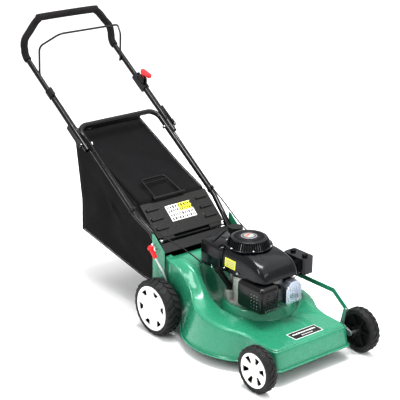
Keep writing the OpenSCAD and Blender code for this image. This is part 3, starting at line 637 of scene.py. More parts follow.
def label(name, centre, right, up, blocks, surface, body):
    """A label made of thin printed blocks: each is (x, y, width, height, lift, material)."""
    verts, faces, marks, inks = [], [], [], []
    right, up = right.normalized(), up.normalized()
    for x, y, w, h, lift, ink in blocks:
        at = centre + (right * x + up * y) * MM
        v, f = patch(at, right, up, w, h, lift, surface)
        if ink not in inks:
            inks.append(ink)
        start = len(verts)
        verts.extend(v)
        faces.extend(tuple(i + start for i in face) for face in f)
        marks.extend([inks.index(ink)] * len(f))
    obj = new_object(name, verts, faces, inks, smooth=False)
    obj.data.polygons.foreach_set("material_index", marks)
    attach(obj, body)
    return obj


label_white = printed("label white", (0.78, 0.78, 0.77))
label_yellow = printed("label yellow", (0.80, 0.78, 0.03))
label_black = printed("label black", (0.012, 0.012, 0.013))
label_grey = printed("label grey", (0.30, 0.30, 0.31))
label_orange = printed("label orange", (0.70, 0.12, 0.03))


def print_rows(rng, w, h, rows, left, bottom, lift, ink, fill=0.55):
    """Rows of small printed blocks that stand for pictograms, with no writing in them."""
    blocks = []
    for j in range(rows):
        y = bottom + h * (j + 0.5) / rows
        x = left
        while x < left + w - 2:
            step = h / rows * rng.uniform(0.42, 0.85)
            blocks.append((x + step / 2, y, step * fill, h / rows * rng.uniform(0.55, 0.82), lift, ink))
            x += step
    return blocks


# ---- tyres -----------------------------------------------------------------

def tyre_profile(r, w, rim_r, depth):
    """(radius, x) round the tyre's section; x is positive on the outer side."""
    half = [(r - depth, 0.0), (r - depth, 0.30 * w), (r - depth - 0.012 * r, 0.40 * w),
            (r * 0.93, 0.475 * w), (r * 0.885, 0.50 * w), (r * 0.875, 0.494 * w),
            (r * 0.865, 0.50 * w), (rim_r + 2.2, 0.488 * w), (rim_r + 0.6, 0.46 * w),
            (rim_r + 0.6, 0.30 * w)]
    return half + [(a, -x) for a, x in reversed(half[1:])]


def lug(centre, r, w, depth, angle, side, pitch):
    """One chevron bar of the tread from the middle over the shoulder."""
    stations = [(0.015, 1.0, 0.0), (0.17, 1.0, 0.26), (0.33, 0.996, 0.50), (0.43, 0.972, 0.58),
                (0.492, 0.925, 0.62)]
    verts, faces = [], []
    half = 0.30 * pitch
    for share, height, shift in stations:
        x = side * share * w
        top = r * height
        low = top - depth * 1.6
        mid = angle + shift * pitch
        for radius, spread in ((low, half * 1.15), (top, half * 0.86)):
            for s in (-1, 1):
                a = mid + s * spread
                verts.append(centre + Vector((x, radius * math.cos(a), radius * math.sin(a))) * MM)
    for i in range(len(stations) - 1):
        a, b = i * 4, i * 4 + 4
        quads = [(a, a + 1, b + 1, b), (a + 2, b + 2, b + 3, a + 3), (a, b, b + 2, a + 2),
                 (a + 1, a + 3, b + 3, b + 1)]
        faces.extend(quads if side > 0 else [q[::-1] for q in quads])
    ends = [(0, 2, 3, 1), (len(verts) - 4, len(verts) - 3, len(verts) - 1, len(verts) - 2)]
    faces.extend(ends if side > 0 else [e[::-1] for e in ends])
    return verts, faces


def hub_mesh(centre, w, rim_r, outer):
    """The black inner side of a wheel: rim flange, dished web with six spokes, and boss."""
    back = -outer
    ring = [(rim_r + 1.5, 0.47), (rim_r + 1.5, 0.30), (rim_r - 4, 0.28), (rim_r - 5, 0.16),
            (24, 0.10), (22, 0.36), (19, 0.38), (9, 0.38), (9, 0.0), (rim_r - 2, 0.06),
            (rim_r - 1, 0.47)]
    parts = [revolve([(r * MM, back * x * w * MM) for r, x in ring], centre, 72)]
    for k in range(6):
        a = 2 * math.pi * k / 6
        along = Vector((0, math.cos(a), math.sin(a)))
        across = Vector((0, -math.sin(a), math.cos(a)))
        out = Vector((back, 0, 0))
        corners = []
        for r, half, depth in ((20, 7, 0.33), (rim_r - 3, 4, 0.30)):
            for s, d in ((-1, 0.02), (1, 0.02), (1, depth), (-1, depth)):
                corners.append(centre + (along * r + across * half * s * (1.0 if d < 0.1 else 0.6)
                                         + out * d * w) * MM)
        faces = [(0, 1, 5, 4), (1, 2, 6, 5), (2, 3, 7, 6), (3, 0, 4, 7), (0, 3, 2, 1), (4, 5, 6, 7)]
        parts.append((corners, faces))
    return gather(parts)


def build_hub(node, body, rim_share):
    """The black plastic centre of one wheel, inside its tyre."""
    low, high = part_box(node)
    centre = (low + high) / 2
    r = (high.z - low.z) / 2 / MM
    w = (high.x - low.x) / MM
    hub = new_object(node + "_hub", *hub_mesh(centre, w, r * rim_share, 1 if centre.x > 0 else -1),
                     black_plastic)
    fix_normals(hub)
    round_edges(hub, 0.8, angle=35)
    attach(hub, body)
    return hub


def fix_normals(obj):
    bm = bmesh.new()
    bm.from_mesh(obj.data)
    bmesh.ops.recalc_face_normals(bm, faces=bm.faces)
    bm.to_mesh(obj.data)
    bm.free()


def build_tyre(node, body, lugs, depth, rim_share):
    """One rubber tyre with two staggered rows of lugs, in place of the plain CAD tyre."""
    low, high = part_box(node)
    centre = (low + high) / 2
    r = (high.z - low.z) / 2 / MM
    w = (high.x - low.x) / MM
    profile = [(a * MM, x * MM) for a, x in tyre_profile(r, w, r * rim_share, depth)]
    parts = [revolve(profile, centre, 96)]
    pitch = 2 * math.pi / lugs
    for k in range(lugs):
        for side in (-1, 1):
            offset = 0.5 * pitch if side > 0 else 0.0
            parts.append(lug(centre, r, w, depth, k * pitch + offset, side, pitch))
    obj = new_object(node + "_tread", *gather(parts), rubber)
    bevel = obj.modifiers.new("round", "BEVEL")
    bevel.limit_method = "ANGLE"
    bevel.angle_limit = math.radians(40)
    bevel.width = 0.7 * MM
    bevel.segments = 2
    bevel.harden_normals = True
    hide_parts(node)
    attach(obj, body)
    return obj


# ---- grass bag ---------------------------------------------------------------

BAG_HALF = 165
BAG_SIDE = [(414, 146), (508, 148), (944, 226), (941, 360), (986, 640), (972, 661), (700, 528),
            (543, 463), (527, 442), (414, 343)]


def outline_at(points, pitch):
    """Evenly spaced points along a closed outline, with its own corners kept."""
    out, corners = [], []
    for a, b in zip(points, points[1:] + points[:1]):
        length = math.dist(a, b)
        count = max(1, round(length / pitch))
        corners.append(len(out))
        for k in range(count):
            t = k / count
            out.append((a[0] + (b[0] - a[0]) * t, a[1] + (b[1] - a[1]) * t))
    return out, corners


def bag_fold(p, x):
    """Height of the slack cloth's folds at a point (y, z) and x, in millimetres."""
    y, z = p
    drift = noise.noise(Vector((x * 0.006, y * 0.005, z * 0.005)))
    diagonal = math.sin((y * 0.55 + x * 0.9 + z * 0.2) * 0.030 + 3.0 * drift)
    fine = noise.noise(Vector((x * 0.022, y * 0.014 + x * 0.008, z * 0.018)))
    return 5.5 * diagonal * (0.4 + abs(drift)) + 3.6 * fine


MOUTH_HALF = 146
MOUTH_BOTTOM, MOUTH_TOP = 160, 330


def in_mouth(a, b, x):
    """Whether a piece of the front panel lies in the open mouth behind the deck."""
    low, high = min(a[1], b[1]), max(a[1], b[1])
    return max(a[0], b[0]) < 416 and low > MOUTH_BOTTOM and high < MOUTH_TOP and abs(x) < MOUTH_HALF


def build_bag():
    """A sewn shell over the wire frame: slack between the wires, sharp along the seams."""
    across = 32
    rings = 10
    outline, _ = outline_at(BAG_SIDE, 12)
    n = len(outline)
    mid_y = sum(p[0] for p in outline) / n
    mid_z = sum(p[1] for p in outline) / n
    lengths = [0.0]
    for a, b in zip(outline, outline[1:]):
        lengths.append(lengths[-1] + math.dist(a, b))
    verts, uvs, faces = [], [], []

    def slack(i, x):
        """How far the cloth sinks inward in the middle of a panel."""
        span = 1 - (x / BAG_HALF) ** 2
        y, z = outline[i]
        top = z > 455 and 543 < y < 972
        along = max(0.0, math.sin(math.pi * (y - 543) / (972 - 543))) if top else 0.0
        rear = y > 930 and 240 < z < 620
        drop = 15 * along if top else (7 * math.sin(math.pi * (z - 240) / 380) if rear else 2.0)
        if y < 430:
            drop = 0.0
        return span * drop

    for i, (y, z) in enumerate(outline):
        before, after = outline[i - 1], outline[(i + 1) % n]
        d = Vector((after[0] - before[0], after[1] - before[1])).normalized()
        inward = Vector((-d.y, d.x))
        for j in range(across + 1):
            x = BAG_HALF * math.sin(math.pi / 2 * (2 * j / across - 1)) * 0.25 \
                + 0.75 * BAG_HALF * (2 * j / across - 1)
            edge = 1 - abs(x) / BAG_HALF
            calm = min(1.0, edge * 6) * (0.0 if y < 430 else 1.0)
            sink = slack(i, x) - bag_fold((y, z), x) * calm * 0.8
            roll = 5.0 * max(0.0, 1 - edge * 22) ** 2
            verts.append(spot(x, y + inward.x * (sink + roll), z + inward.y * (sink + roll)))
            uvs.append((lengths[i] * MM, x * MM))
    m = across + 1
    for i in range(n):
        k = (i + 1) % n
        for j in range(across):
            if not in_mouth(outline[i], outline[k], verts[i * m + j].x / MM):
                faces.append((i * m + j, i * m + j + 1, k * m + j + 1, k * m + j))
    for side in (-1, 1):
        edge_col = 0 if side < 0 else across
        previous = [i * m + edge_col for i in range(n)]
        for q in range(1, rings):
            t = q / rings
            ring = []
            for i, (y, z) in enumerate(outline):
                yy = y + (mid_y - y) * t
                zz = z + (mid_z - z) * t
                puff = math.sin(math.pi * min(1.0, t * 1.6) / 2)
                wave = bag_fold((yy, zz), side * 300) * puff * 1.2
                x = side * (BAG_HALF - 3.5 * puff + wave * 1.2)
                ring.append(len(verts))
                verts.append(spot(x, yy, zz))
                uvs.append((yy * MM, zz * MM))
            for i in range(n):
                k = (i + 1) % n
                face = (previous[i], previous[k], ring[k], ring[i])
                faces.append(face if side < 0 else face[::-1])
            previous = ring
        centre = len(verts)
        verts.append(spot(side * (BAG_HALF - 3.5), mid_y, mid_z))
        uvs.append((mid_y * MM, mid_z * MM))
        for i in range(n):
            k = (i + 1) % n
            face = (previous[i], previous[k], centre)
            faces.append(face if side < 0 else face[::-1])
    bag = new_object("bag_cloth", verts, faces, cloth, uvs=uvs)
    fix_normals(bag)
    thick = bag.modifiers.new("cloth", "SOLIDIFY")
    thick.thickness = 1.0 * MM
    thick.offset = -1
    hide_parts("bag")
    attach(bag, "bag")
    add_bag_seams(outline)
    return bag


def add_bag_seams(outline):
    """Piping round both side panels, and stitches beside it."""
    loop = [spot(0, y, z) for y, z in outline]
    for side, word in ((-1, "right"), (1, "left")):
        at = Vector((side * (BAG_HALF - 1.2) * MM, 0, 0))
        piping = tube(f"bag_piping_{word}", [p + at for p in loop], 2.3 * MM, hem_cloth,
                      sides=8, closed=True)
        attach(piping, "bag")
        stitches = []
        for k in range(0, len(loop)):
            a, b = loop[k], loop[(k + 1) % len(loop)]
            if (b - a).length < 4 * MM:
                continue
            count = max(1, round((b - a).length / (6 * MM)))
            for c in range(count):
                p = a + (b - a) * ((c + 0.22) / count)
                q = a + (b - a) * ((c + 0.72) / count)
                d = (b - a).normalized()
                inward = Vector((0, -d.z, d.y)) * 7 * MM
                out = Vector((side * (BAG_HALF + 0.2) * MM, 0, 0))
                stitches.append(tube_mesh([p + inward + out, q + inward + out], 0.45 * MM, 6))
        sewn = new_object(f"bag_stitches_{word}", *gather(stitches), thread)
        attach(sewn, "bag")
    hem = [spot(x, 968, 666) for x in (-BAG_HALF + 4, 0, BAG_HALF - 4)]
    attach(tube("bag_top_hem", hem, 6.5 * MM, hem_cloth, sides=16), "bag")


# ---- cables ------------------------------------------------------------------

BRAKE_ROUTE = [(-227, 1041.5, 813.2), (-227, 1010, 791), (-227, 960, 758), (-227, 905, 720),
               (-225, 875, 700), (-221, 852, 684), (-211, 838, 671), (-210, 790, 638),
               (-208, 720, 590), (-206, 640, 536), (-205, 560, 481.2), (-205, 530, 460.7),
               (-205, 510, 447), (-200, 460, 419), (-192, 410, 396), (-176, 350, 372),
               (-140, 290, 340), (-118, 240, 312), (-112, 200, 296)]
THROTTLE_ROUTE = [(227, 998, 783), (227, 975, 768), (227, 930, 737), (225, 875, 700),
                  (221, 852, 684), (211, 838, 671), (210, 790, 638), (208, 720, 590),
                  (206, 640, 536), (205, 560, 481.2), (205, 530, 460.7), (205, 510, 447),
                  (206, 460, 419), (202, 410, 394), (190, 350, 372), (168, 270, 356),
                  (150, 180, 340), (140, 100, 322), (134, 34, 306), (132, 6, 298)]
CABLE_R = 2.5


def build_cable(name, route, nodes):
    """One jacketed control cable along both handles."""
    line = spline([spot(*p) for p in route], 8)
    cable = tube(name, line, CABLE_R * MM, cable_jacket, sides=12)
    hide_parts(*nodes)
    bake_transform(cable)
    return cable


# ---- engine details ------------------------------------------------------------

SHROUD_TOP = [(118, 388), (90, 392), (60, 393), (20, 393), (-10, 391), (-40, 386), (-65, 379),
              (-88, 369), (-104, 357), (-116, 342), (-123, 324), (-126, 308)]
SHROUD_MID_X = 9
SHROUD_HALF = 98


def shroud_half_width(y):
    """Half width in plan: rounded at the nose and a little at the back."""
    nose = max(0.0, (-70 - y) / 56)
    tail = max(0.0, (y - 96) / 22)
    return SHROUD_HALF - 24 * (1 - math.sqrt(max(0.0, 1 - nose ** 2))) - 5 * tail ** 2


def build_shroud():
    """The engine's blower housing: one smooth moulding that rolls down to its nose."""
    line = [(p.x, p.y) for p in spline([(y, z, 0) for y, z in SHROUD_TOP], 5)]
    steps = 56
    verts, faces = [], []
    for y, z in line:
        half = shroud_half_width(y)
        base = lookup(y, [(-126, 307), (-95, 308), (-40, 300), (118, 294)])
        height = max(1.0, z - base)
        for k in range(steps + 1):
            t = math.pi * k / steps
            c, s = math.cos(t), math.sin(t)
            x = half * math.copysign(abs(c) ** (2 / 6.5), c)
            up = height * abs(s) ** (2 / 4.5)
            flank = 1 - 0.035 * (up / height)
            ridge = 1.3 * math.exp(-((abs(x) - 40) / 4.0) ** 2) if up > 0.9 * height and y < 40 else 0
            crown = 2.2 * (1 - (x / half) ** 2) - 2.2
            verts.append(spot(SHROUD_MID_X + x * flank, y, base + up + ridge + crown * s))
    m = steps + 1
    for i in range(len(line) - 1):
        for k in range(steps):
            faces.append((i * m + k, i * m + k + 1, (i + 1) * m + k + 1, (i + 1) * m + k))
    faces.append(tuple(range(steps, -1, -1)))
    shroud = new_object("shroud_shell", verts, faces, engine_black)
    fix_normals(shroud)
    wall = shroud.modifiers.new("wall", "SOLIDIFY")
    wall.thickness = 2.4 * MM
    wall.offset = -1
    split = shroud.modifiers.new("crease", "EDGE_SPLIT")
    split.split_angle = math.radians(50)
    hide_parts("shroud")
    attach(shroud, "chassis")
    return shroud



def build_tank():
    """The fuel tank: a rounded box flush with the shroud, with a seam round its middle."""
    x0, x1, y0, y1, z0 = -91, 84, 112, 244, 281
    plan = rounded_rect(x1 - x0, y1 - y0, 20, 8)
    levels = [(0, -9), (2.5, -4), (7, -1), (14, 0), (50, 0.6), (53, 1.8), (56, 0.6), (86, 0),
              (94, -1.4), (99, -5), (102, -12)]
    verts, faces = [], []
    n = len(plan)
    for up, grow in levels:
        for px, py in plan:
            k = 1 + grow / math.hypot(px, py)
            verts.append(spot((x0 + x1) / 2 + px * k, (y0 + y1) / 2 + py * k, z0 + up))
    for j in range(len(levels) - 1):
        for i in range(n):
            m = (i + 1) % n
            faces.append((j * n + i, j * n + m, (j + 1) * n + m, (j + 1) * n + i))
    faces.append(tuple(range(n - 1, -1, -1)))
    faces.append(tuple((len(levels) - 1) * n + i for i in range(n)))
    neck = tube_mesh([spot(46, 186, 380), spot(46, 186, 398)], 21 * MM, 40)
    tank = new_object("fuel_tank_shell", *gather([(verts, faces), neck]), engine_black)
    crease(tank, 40)
    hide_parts("fuel_tank")
    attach(tank, "chassis")


def crease(obj, angle):
    split = obj.modifiers.new("crease", "EDGE_SPLIT")
    split.split_angle = math.radians(angle)


FAN_RIBS = 54


def turned(profile, steps=96):
    """A surface turned about the crankshaft from (radius, height) points."""
    verts, faces = [], []
    n = len(profile)
    for k in range(steps):
        a = 2 * math.pi * k / steps
        for r, z in profile:
            verts.append(spot(CRANK[0] + r * math.cos(a), CRANK[1] + r * math.sin(a), z))
    for k in range(steps):
        m = (k + 1) % steps
        for i in range(n - 1):
            faces.append((k * n + i, m * n + i, m * n + i + 1, k * n + i + 1))
    return verts, faces


def fan_rib(turn, spine, half, deep):
    """One rib of the cage: a bar of the given half width, set deep into the cover."""
    mid = spot(CRANK[0], CRANK[1], 0)
    out = Vector((math.cos(turn), math.sin(turn), 0))
    side = Vector((-math.sin(turn), math.cos(turn), 0))
    inward = Vector(deep)
    verts, faces = [], []
    for r, z in spine:
        for s, d in ((-1, 0), (1, 0), (1, 1), (-1, 1)):
            at = out * (r - d * inward.x) + side * half * s + Vector((0, 0, z - d * inward.z))
            verts.append(mid + at * MM)
    for i in range(len(spine) - 1):
        for q in range(4):
            w = (q + 1) % 4
            faces.append((i * 4 + q, i * 4 + w, i * 4 + 4 + w, i * 4 + 4 + q))
    return verts, faces


def build_fan_cover():
    """The recoil starter's cover: flange, open ribbed cage and flat crown."""
    flange = turned([(82, 393), (93, 393), (93.5, 395), (92, 397.5), (85, 398.5), (84, 396)])
    crown = turned([(72, 422.5), (72, 425.2), (69, 427.0), (60, 427.6), (58, 425.5), (40, 425.5),
                    (38, 427.6), (0.001, 428.0)])
    spine = [(88, 397.5), (84.5, 403), (80.5, 411), (76, 419.5), (71, 424.5)]
    top_spine = [(61, 427.2), (50, 427.4), (39, 427.2)]
    parts = [flange, crown]
    for k in range(FAN_RIBS):
        turn = 2 * math.pi * k / FAN_RIBS
        parts.append(fan_rib(turn, spine, 1.75, (3.5, 0, 2.5)))
        parts.append(fan_rib(turn, top_spine, 1.3, (0, 0, 1.6)))
    cover = new_object("starter_cover_shell", *gather(parts), engine_black)
    fix_normals(cover)
    crease(cover, 35)
    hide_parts("starter_cover")
    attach(cover, "chassis")
    lining = new_object("starter_cover_lining",
                        *turned([(80, 394), (67, 421), (0.001, 421.5)]), black_plastic)
    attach(lining, "chassis")
    places = [(CRANK[0] + 88.5 * math.cos(math.radians(a)),
               CRANK[1] + 88.5 * math.sin(math.radians(a)), 397.5) for a in range(-120, 181, 60)]
    add_screws("starter_screws", places, (0, 0, 1), 3.6, "chassis", chrome)


def build_rocker_ribs():
    """Raised panel and cooling ribs pressed into the silver valve cover."""
    low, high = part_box("rocker_cover")
    face = low.y - 0.0002
    parts = []
    for k in range(4):
        x = low.x + (high.x - low.x) * (0.30 + 0.135 * k)
        parts.append(tube_mesh([Vector((x, face, low.z + 0.022)), Vector((x, face, high.z - 0.024))],
                               1.9 * MM, 10))
    cx, cz = (low.x + high.x) / 2, (low.z + high.z) / 2
    loop = [Vector((cx + px * MM, face, cz + pz * MM)) for px, pz in rounded_rect(58, 68, 12, 5)]
    parts.append(tube_mesh(loop, 1.5 * MM, 8, closed=True))
    ribs = new_object("rocker_cover_ribs", *gather(parts), silver_lid)
    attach(ribs, "chassis")


GUARD_SIDES = [(0, -7), (2, -3), (6, 0), (50, 0.4), (72, 0), (80, -2.5), (85, -8), (87.5, -16)]


def build_guard():
    """The muffler's pressed guard: rounded all round, with rows of small holes."""
    low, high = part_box("muffler_guard")
    size = (high - low) / MM
    middle = (low + high) / 2
    plan = rounded_rect(size.x, size.y, 17, 7)
    verts, faces = [], []
    n = len(plan)
    top = GUARD_SIDES[-1][0]
    for up, grow in GUARD_SIDES:
        for px, py in plan:
            k = 1 + grow / math.hypot(px, py)
            verts.append(Vector((middle.x + px * k * MM, middle.y + py * k * MM,
                                 low.z + size.z * up / top * MM)))
    for j in range(len(GUARD_SIDES) - 1):
        for i in range(n):
            m = (i + 1) % n
            faces.append((j * n + i, j * n + m, (j + 1) * n + m, (j + 1) * n + i))
    faces.append(tuple(range(n - 1, -1, -1)))
    faces.append(tuple((len(GUARD_SIDES) - 1) * n + i for i in range(n)))
    guard = new_object("muffler_guard_shell", verts, faces, black_tube)
    crease(guard, 40)
    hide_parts("muffler_guard")
    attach(guard, "chassis")
    holes = []
    for row in range(5):
        for column in range(3):
            at = Vector((low.x + 0.0025, low.y + 0.058 - 0.016 * column, low.z + 0.018 + 0.013 * row))
            holes.append(screw_mesh(at, (-1, 0, 0), 1.9))
    for column in range(7):
        at = Vector((low.x + 0.020 + 0.0095 * column, low.y - 0.0001, low.z + 0.012))
        holes.append(screw_mesh(at, (0, -1, 0), 1.4))
    made = new_object("muffler_guard_holes", *gather(holes), steel, smooth=False)
    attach(made, "chassis")


def build_guard_face():
    """A rolled ring and louvres on the front of the muffler guard."""
    low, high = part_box("muffler_guard")
    centre = Vector(((low.x + high.x) / 2, low.y - 0.0004, (low.z + high.z) / 2 + 0.004))
    ring = [centre + Vector((math.cos(a), 0, math.sin(a))) * 0.026
            for a in (2 * math.pi * k / 40 for k in range(40))]
    parts = [tube_mesh(ring, 1.6 * MM, 8, closed=True)]
    for k in range(4):
        z = centre.z - 0.015 + 0.010 * k
        half = math.sqrt(0.021 ** 2 - (z - centre.z) ** 2)
        parts.append(tube_mesh([Vector((centre.x - half, low.y - 0.0002, z)),
                                Vector((centre.x + half, low.y - 0.0002, z))], 1.7 * MM, 10))
    face = new_object("muffler_guard_face", *gather(parts), black_tube)
    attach(face, "chassis")


COWL_SEAMS = [[(-25, -5), (-30, -45), (-38, -90), (-46, -122)], [(82, -38), (78, -66), (72, -94), (64, -120)]]


def build_cowl_seams(surface):
    """Two fine pressed lines that run forward over the cowl from the starter cover."""
    parts = []
    for seam in COWL_SEAMS:
        line = spline([spot(x, y, 430) for x, y in seam], 6)
        drops = [surface.ray_cast(p, Vector((0, 0, -1)))[0] for p in line]
        parts.append(tube_mesh([p for p in drops if p is not None], 0.9 * MM, 8))
    made = new_object("cowl_seams", *gather(parts), black_plastic)
    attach(made, "chassis")


def coil(start, end, r, turns):
    """Points along a coil spring between two places."""
    line = end - start
    side = line.normalized().orthogonal().normalized()
    other = line.normalized().cross(side)
    steps = turns * 12
    return [start + line * (k / steps)
            + (side * math.cos(k * math.pi / 6) + other * math.sin(k * math.pi / 6)) * r
            for k in range(steps + 1)]


def build_linkage():
    """The carburettor's throttle rod and governor spring, in front of its body."""
    spring = tube_mesh(coil(spot(112, -66, 274), spot(146, -74, 250), 3.6 * MM, 11), 0.9 * MM, 6)
    hook = tube_mesh([spot(112, -66, 274), spot(104, -62, 282), spot(104, -44, 284)], 1.1 * MM, 8)
    wire = tube_mesh([spot(146, -74, 250), spot(152, -74, 244), spot(150, -46, 240)], 1.1 * MM, 8)
    made = new_object("carburettor_spring", *gather([spring, hook, wire]), chrome)
    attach(made, "chassis")
    rod = tube_mesh([spot(120, -44, 262), spot(122, -72, 262), spot(150, -80, 284),
                     spot(160, -80, 284)], 1.5 * MM, 8)
    arm = tube_mesh([spot(134, -46, 236), spot(134, -80, 236), spot(150, -84, 232)], 2.4 * MM, 10)
    levers = new_object("carburettor_rods", *gather([rod, arm]), black_tube)
    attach(levers, "chassis")
    places = [(126, -43.5, 284), (146, -43.5, 284), (146, -43.5, 258)]
    add_screws("carburettor_screws", places, (0, -1, 0), 3.4, "chassis", chrome)


def add_engine_screws():
    """The screws that hold the tank, the cowl and the valve cover."""
    places = [(-92.5, 163, 290), (-91.5, 14, 310), (-91.5, 92, 308)]
    add_screws("cowl_screws", places, (-1, 0, 0), 4.0, "chassis", chrome)
    low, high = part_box("rocker_cover")
    low, high = low / MM, high / MM
    front = low.y + MID_Y
    corners = [(x, front - 0.5, z) for x in (low.x + 7, high.x - 7) for z in (low.z + 9, high.z - 20)]
    add_screws("rocker_screws", corners, (0, -1, 0), 2.8, "chassis", chrome)


FLAP_FOOT = (406, 348)
FLAP_RISE = (123, 105)


def build_flap_pads():
    """Six rounded stiffening pads moulded into the flap, three on each side."""
    up = Vector((0, *FLAP_RISE)).normalized()
    parts = []
    for side in (-1, 1):
        for k in range(3):
            share = 0.30 + 0.26 * k
            y = FLAP_FOOT[0] + FLAP_RISE[0] * share
            z = FLAP_FOOT[1] + FLAP_RISE[1] * share
            for w, h, lift in ((66, 24, 2.2), (62, 20, 3.6), (56, 14, 4.6)):
                parts.append(patch(spot(side * 124, y, z), Vector((1, 0, 0)), up, w, h, lift,
                                   None, 20))
    pads = new_object("flap_pads", *gather(parts), flap_plastic, smooth=False)
    bevel = pads.modifiers.new("round", "BEVEL")
    bevel.width = 1.1 * MM
    bevel.segments = 3
    bevel.limit_method = "ANGLE"
    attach(pads, "flap")


GRIP_PATH = [(-227.5, 1236, 921.7), (-227.5, 1250, 932), (-227.5, 1259.5, 948), (-227.5, 1262, 965),
             (-227.5, 1265, 982), (-220, 1267, 1009), (-196, 1268, 1037), (-170, 1268, 1068),
             (-150, 1268, 1085), (-128, 1268, 1092)]


def build_grip():
    """The foam sleeve: slightly swollen, cut square at its ends, along the tube's bends."""
    half = [spot(*p) for p in GRIP_PATH]
    other = [Vector((-p.x, p.y, p.z)) for p in reversed(half)]
    line = spline(half + other, 6)

    def swell(t):
        end = min(t, 1 - t)
        return (15.6 - 0.9 * math.exp(-end * 160) + 0.25 * math.sin(t * 61) * min(1, end * 20)) * MM

    grip = tube("grip_foam", line, swell, foam, sides=40)
    crease(grip, 50)
    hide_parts("foam_grip")
    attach(grip, "upper_handle")


def build_badge(surface_z=428):
    """A round badge on the starter cover, with a generic ring and bar design."""
    parts, marks = [], []
    rings = [(31, 0.0, 1.2, 0), (27, 1.2, 1.8, 1), (22, 1.8, 2.2, 0)]
    for radius, low, high, mark in rings:
        profile = [(radius, low), (radius, high - 0.4), (radius - 0.8, high), (0.001, high)]
        verts, faces = [], []
        steps = 64
        for k in range(steps):
            a = 2 * math.pi * k / steps
            for r, z in profile:
                verts.append(spot(CRANK[0] + r * math.cos(a), CRANK[1] + r * math.sin(a), surface_z + z))
        n = len(profile)
        for k in range(steps):
            m = (k + 1) % steps
            for i in range(n - 1):
                faces.append((k * n + i, m * n + i, m * n + i + 1, k * n + i + 1))
        parts.append((verts, faces))
        marks.extend([mark] * len(faces))
    obj = new_object("starter_badge", *gather(parts), [label_grey, label_black])
    obj.data.polygons.foreach_set("material_index", marks)
    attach(obj, "chassis")
    right, up = Vector((1, 0.35, 0)).normalized(), Vector((-0.35, 1, 0)).normalized()
    middle = spot(CRANK[0], CRANK[1], surface_z + 2.3)
    bars = [(0, 5, 34, 7, 0.35, label_orange), (0, -6, 30, 5, 0.35, label_white)]
    label("starter_badge_bars", middle, right, up, bars, None, "chassis")


def screw_mesh(at, axis, r):
    """A small hexagon-head screw with a washer."""
    axis = Vector(axis).normalized()
    parts = []
    for radius, low, high, sides in ((r * 1.35, 0, 0.9, 24), (r, 0.9, 4.2, 6), (r * 0.72, 4.2, 4.7, 24)):
        parts.append(tube_mesh([at + axis * low * MM, at + axis * high * MM], radius * MM, sides))
    return gather(parts)


def add_screws(name, places, axis, r, body, material):
    verts, faces = gather([screw_mesh(spot(*p), axis, r) for p in places])
    obj = new_object(name, verts, faces, material, smooth=False)
    bevel = obj.modifiers.new("round", "BEVEL")
    bevel.width = 0.35 * MM
    bevel.segments = 2
    bevel.limit_method = "ANGLE"
    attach(obj, body)
    return obj


def build_rope():
    """The starter rope from the shroud's guide to the grip."""
    guide = spot(-44, 130, 407.6)
    end = spot(-53, 141.5, 409.6)
    line = [guide + (end - guide) * (k / 24) for k in range(25)]
    rope = tube("starter_rope", line, 1.9 * MM, rope_fibre, sides=8)
    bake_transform(rope)
    return rope


# ---- studio ----------------------------------------------------------------

def build_floor():
    size = 14.0
    f = Finish("studio floor")
    f.base(f.color(f.noise(2.0), (0.86, 0.86, 0.87), (0.90, 0.90, 0.90)))
    f.rough(f.noise(8.0), 0.75, 0.9)
    verts = [(-size, -size, 0), (size, -size, 0), (size, size, 0), (-size, size, 0)]
    floor = new_object("studio_floor", verts, [(0, 1, 2, 3)], f.material)
    floor.location.z = -0.0005


def area_light(name, place, target, size, energy, color=(1, 1, 1)):
    """A rectangular lamp at one place, turned toward a target."""
    data = bpy.data.lights.new(name, "AREA")
    data.shape = "RECTANGLE"
    data.size, data.size_y = size
    data.energy = energy
    data.color = color
    obj = bpy.data.objects.new(name, data)
    bpy.context.scene.collection.objects.link(obj)
    obj.location = place
    obj.rotation_euler = (Vector(target) - Vector(place)).to_track_quat("-Z", "Y").to_euler()
    return obj


def soft_sun(toward, strength, spread):
    """A sun with a wide disc, for soft shadows."""
    data = bpy.data.lights.new("sky", "SUN")
    data.energy = strength
    data.angle = math.radians(spread)
    obj = bpy.data.objects.new("sky", data)
    bpy.context.scene.collection.objects.link(obj)
    obj.rotation_euler = Vector(toward).to_track_quat("-Z", "Y").to_euler()
    return obj


def light_studio():
    """White surroundings, one broad overhead light and two panels for the highlights."""
    scene = bpy.context.scene
    scene.view_settings.view_transform = "Standard"
    scene.view_settings.gamma = 0.78
    scene.view_settings.exposure = 0.22
    world = bpy.data.worlds.new("studio")
    scene.world = world
    world.use_nodes = True
    back = world.node_tree.nodes["Background"]
    back.inputs["Color"].default_value = (1.0, 1.0, 1.0, 1.0)
    back.inputs["Strength"].default_value = 0.78
    soft_sun((-0.30, 0.15, -1.0), 1.2, 80)
    middle = (0, -0.2, 0.3)
    area_light("left_panel", (-3.4, -0.6, 2.6), middle, (0.9, 2.4), 55)
    area_light("front_panel", (0.9, -4.0, 2.4), middle, (2.4, 0.7), 25)
    area_light("top_panel", (0.2, -0.4, 3.4), middle, (0.8, 2.2), 95)


def place_camera():
    """The camera fitted to the photograph."""
    data = bpy.data.cameras.new("view")
    data.sensor_width = 36.0
    data.lens = 117.65
    camera = bpy.data.objects.new("view", data)
    bpy.context.scene.collection.objects.link(camera)
    target = Vector((0.853, 0.9343, 0.0))
    azimuth, elevation, distance = math.radians(-39.7), math.radians(20.2), 6.6521
    away = Vector((math.sin(azimuth) * math.cos(elevation), -math.cos(azimuth) * math.cos(elevation),
                   math.sin(elevation)))
    camera.location = target + away * distance
    look = (-away).to_track_quat("-Z", "Y")
    camera.rotation_euler = (look @ Quaternion((0, 0, 1), math.radians(0.6))).to_euler()
    bpy.context.scene.camera = camera


# ---- assembly ----------------------------------------------------------------

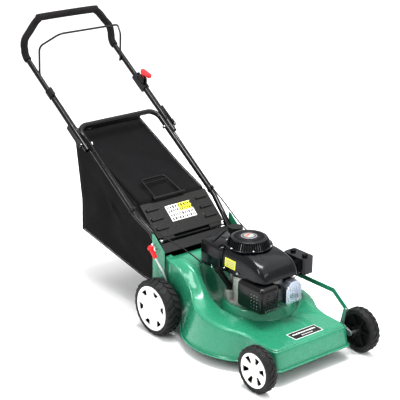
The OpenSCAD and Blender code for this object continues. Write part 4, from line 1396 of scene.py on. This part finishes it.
def main():
    """Build the looks of every piece, then the labels, floor, lights and camera."""
    dress_cad_parts()
    deck = build_deck()
    for word in ("left", "right"):
        build_tyre(f"front_{word}_tyre", f"front_{word}_wheel", 22, 3.2, 0.76)
        build_tyre(f"rear_{word}_tyre", f"rear_{word}_wheel", 24, 4.6, 0.80)
        build_hub(f"front_{word}_tyre", f"front_{word}_wheel", 0.76)
        build_hub(f"rear_{word}_tyre", f"rear_{word}_wheel", 0.80)
    build_bag()
    build_cable("brake_cable", BRAKE_ROUTE, ("brake_cable_upper", "brake_cable_lower"))
    build_cable("throttle_cable", THROTTLE_ROUTE, ("throttle_cable_upper", "throttle_cable_lower"))
    build_rope()
    shroud = build_shroud()
    build_tank()
    build_fan_cover()
    build_rocker_ribs()
    build_guard()
    build_guard_face()
    build_linkage()
    add_engine_screws()
    build_flap_pads()
    build_grip()
    build_badge()

    rng = random.Random(11)
    bpy.context.view_layer.update()
    deck_surface = surface_of(deck)
    plate = [(0, 0, 144, 54, 0.5, label_white), (0, 0, 137, 47, 0.9, label_black)]
    for k in range(12):
        plate.append((-54 + k * 9.8, 7, 6.9, 9.0, 1.2, label_white))
    for k in range(6):
        plate.append((-24 + k * 9.8, -11, 6.4, 5.2, 1.2, label_white))
    label("nose_plate", spot(14, -258, 150), Vector((1, 0, 0)), Vector((0, 1, 0.05)), plate,
          deck_surface, "chassis")

    flap_surface = surface_of(NODES["flap"])
    low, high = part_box("flap")
    right = Vector((1, 0, 0))
    up = Vector((0, 128, 117)).normalized()
    middle = spot(0, 475, 408)
    sticker = [(0, 0, 128, 74, 0.4, label_white), (30, 18, 66, 36, 0.6, label_yellow)]
    sticker += print_rows(rng, 56, 34, 2, -61, 1, 0.6, label_black)
    sticker += print_rows(rng, 62, 34, 2, -1, 1, 0.8, label_black)
    sticker += print_rows(rng, 120, 34, 2, -60, -36, 0.6, label_black)
    label("flap_sticker", middle, right, up, sticker, flap_surface, "flap")

    shroud_surface = surface_of(shroud)
    build_cowl_seams(shroud_surface)
    warning = [(0, 0, 62, 36, 0.4, label_yellow)]
    warning += print_rows(rng, 54, 28, 4, -27, -15, 0.6, label_grey, 0.7)
    label("engine_sticker", spot(-89, 62, 334), Vector((0, -1, 0)), Vector((0, 0, 1)), warning,
          shroud_surface, "chassis")

    build_floor()
    light_studio()
    place_camera()


main()
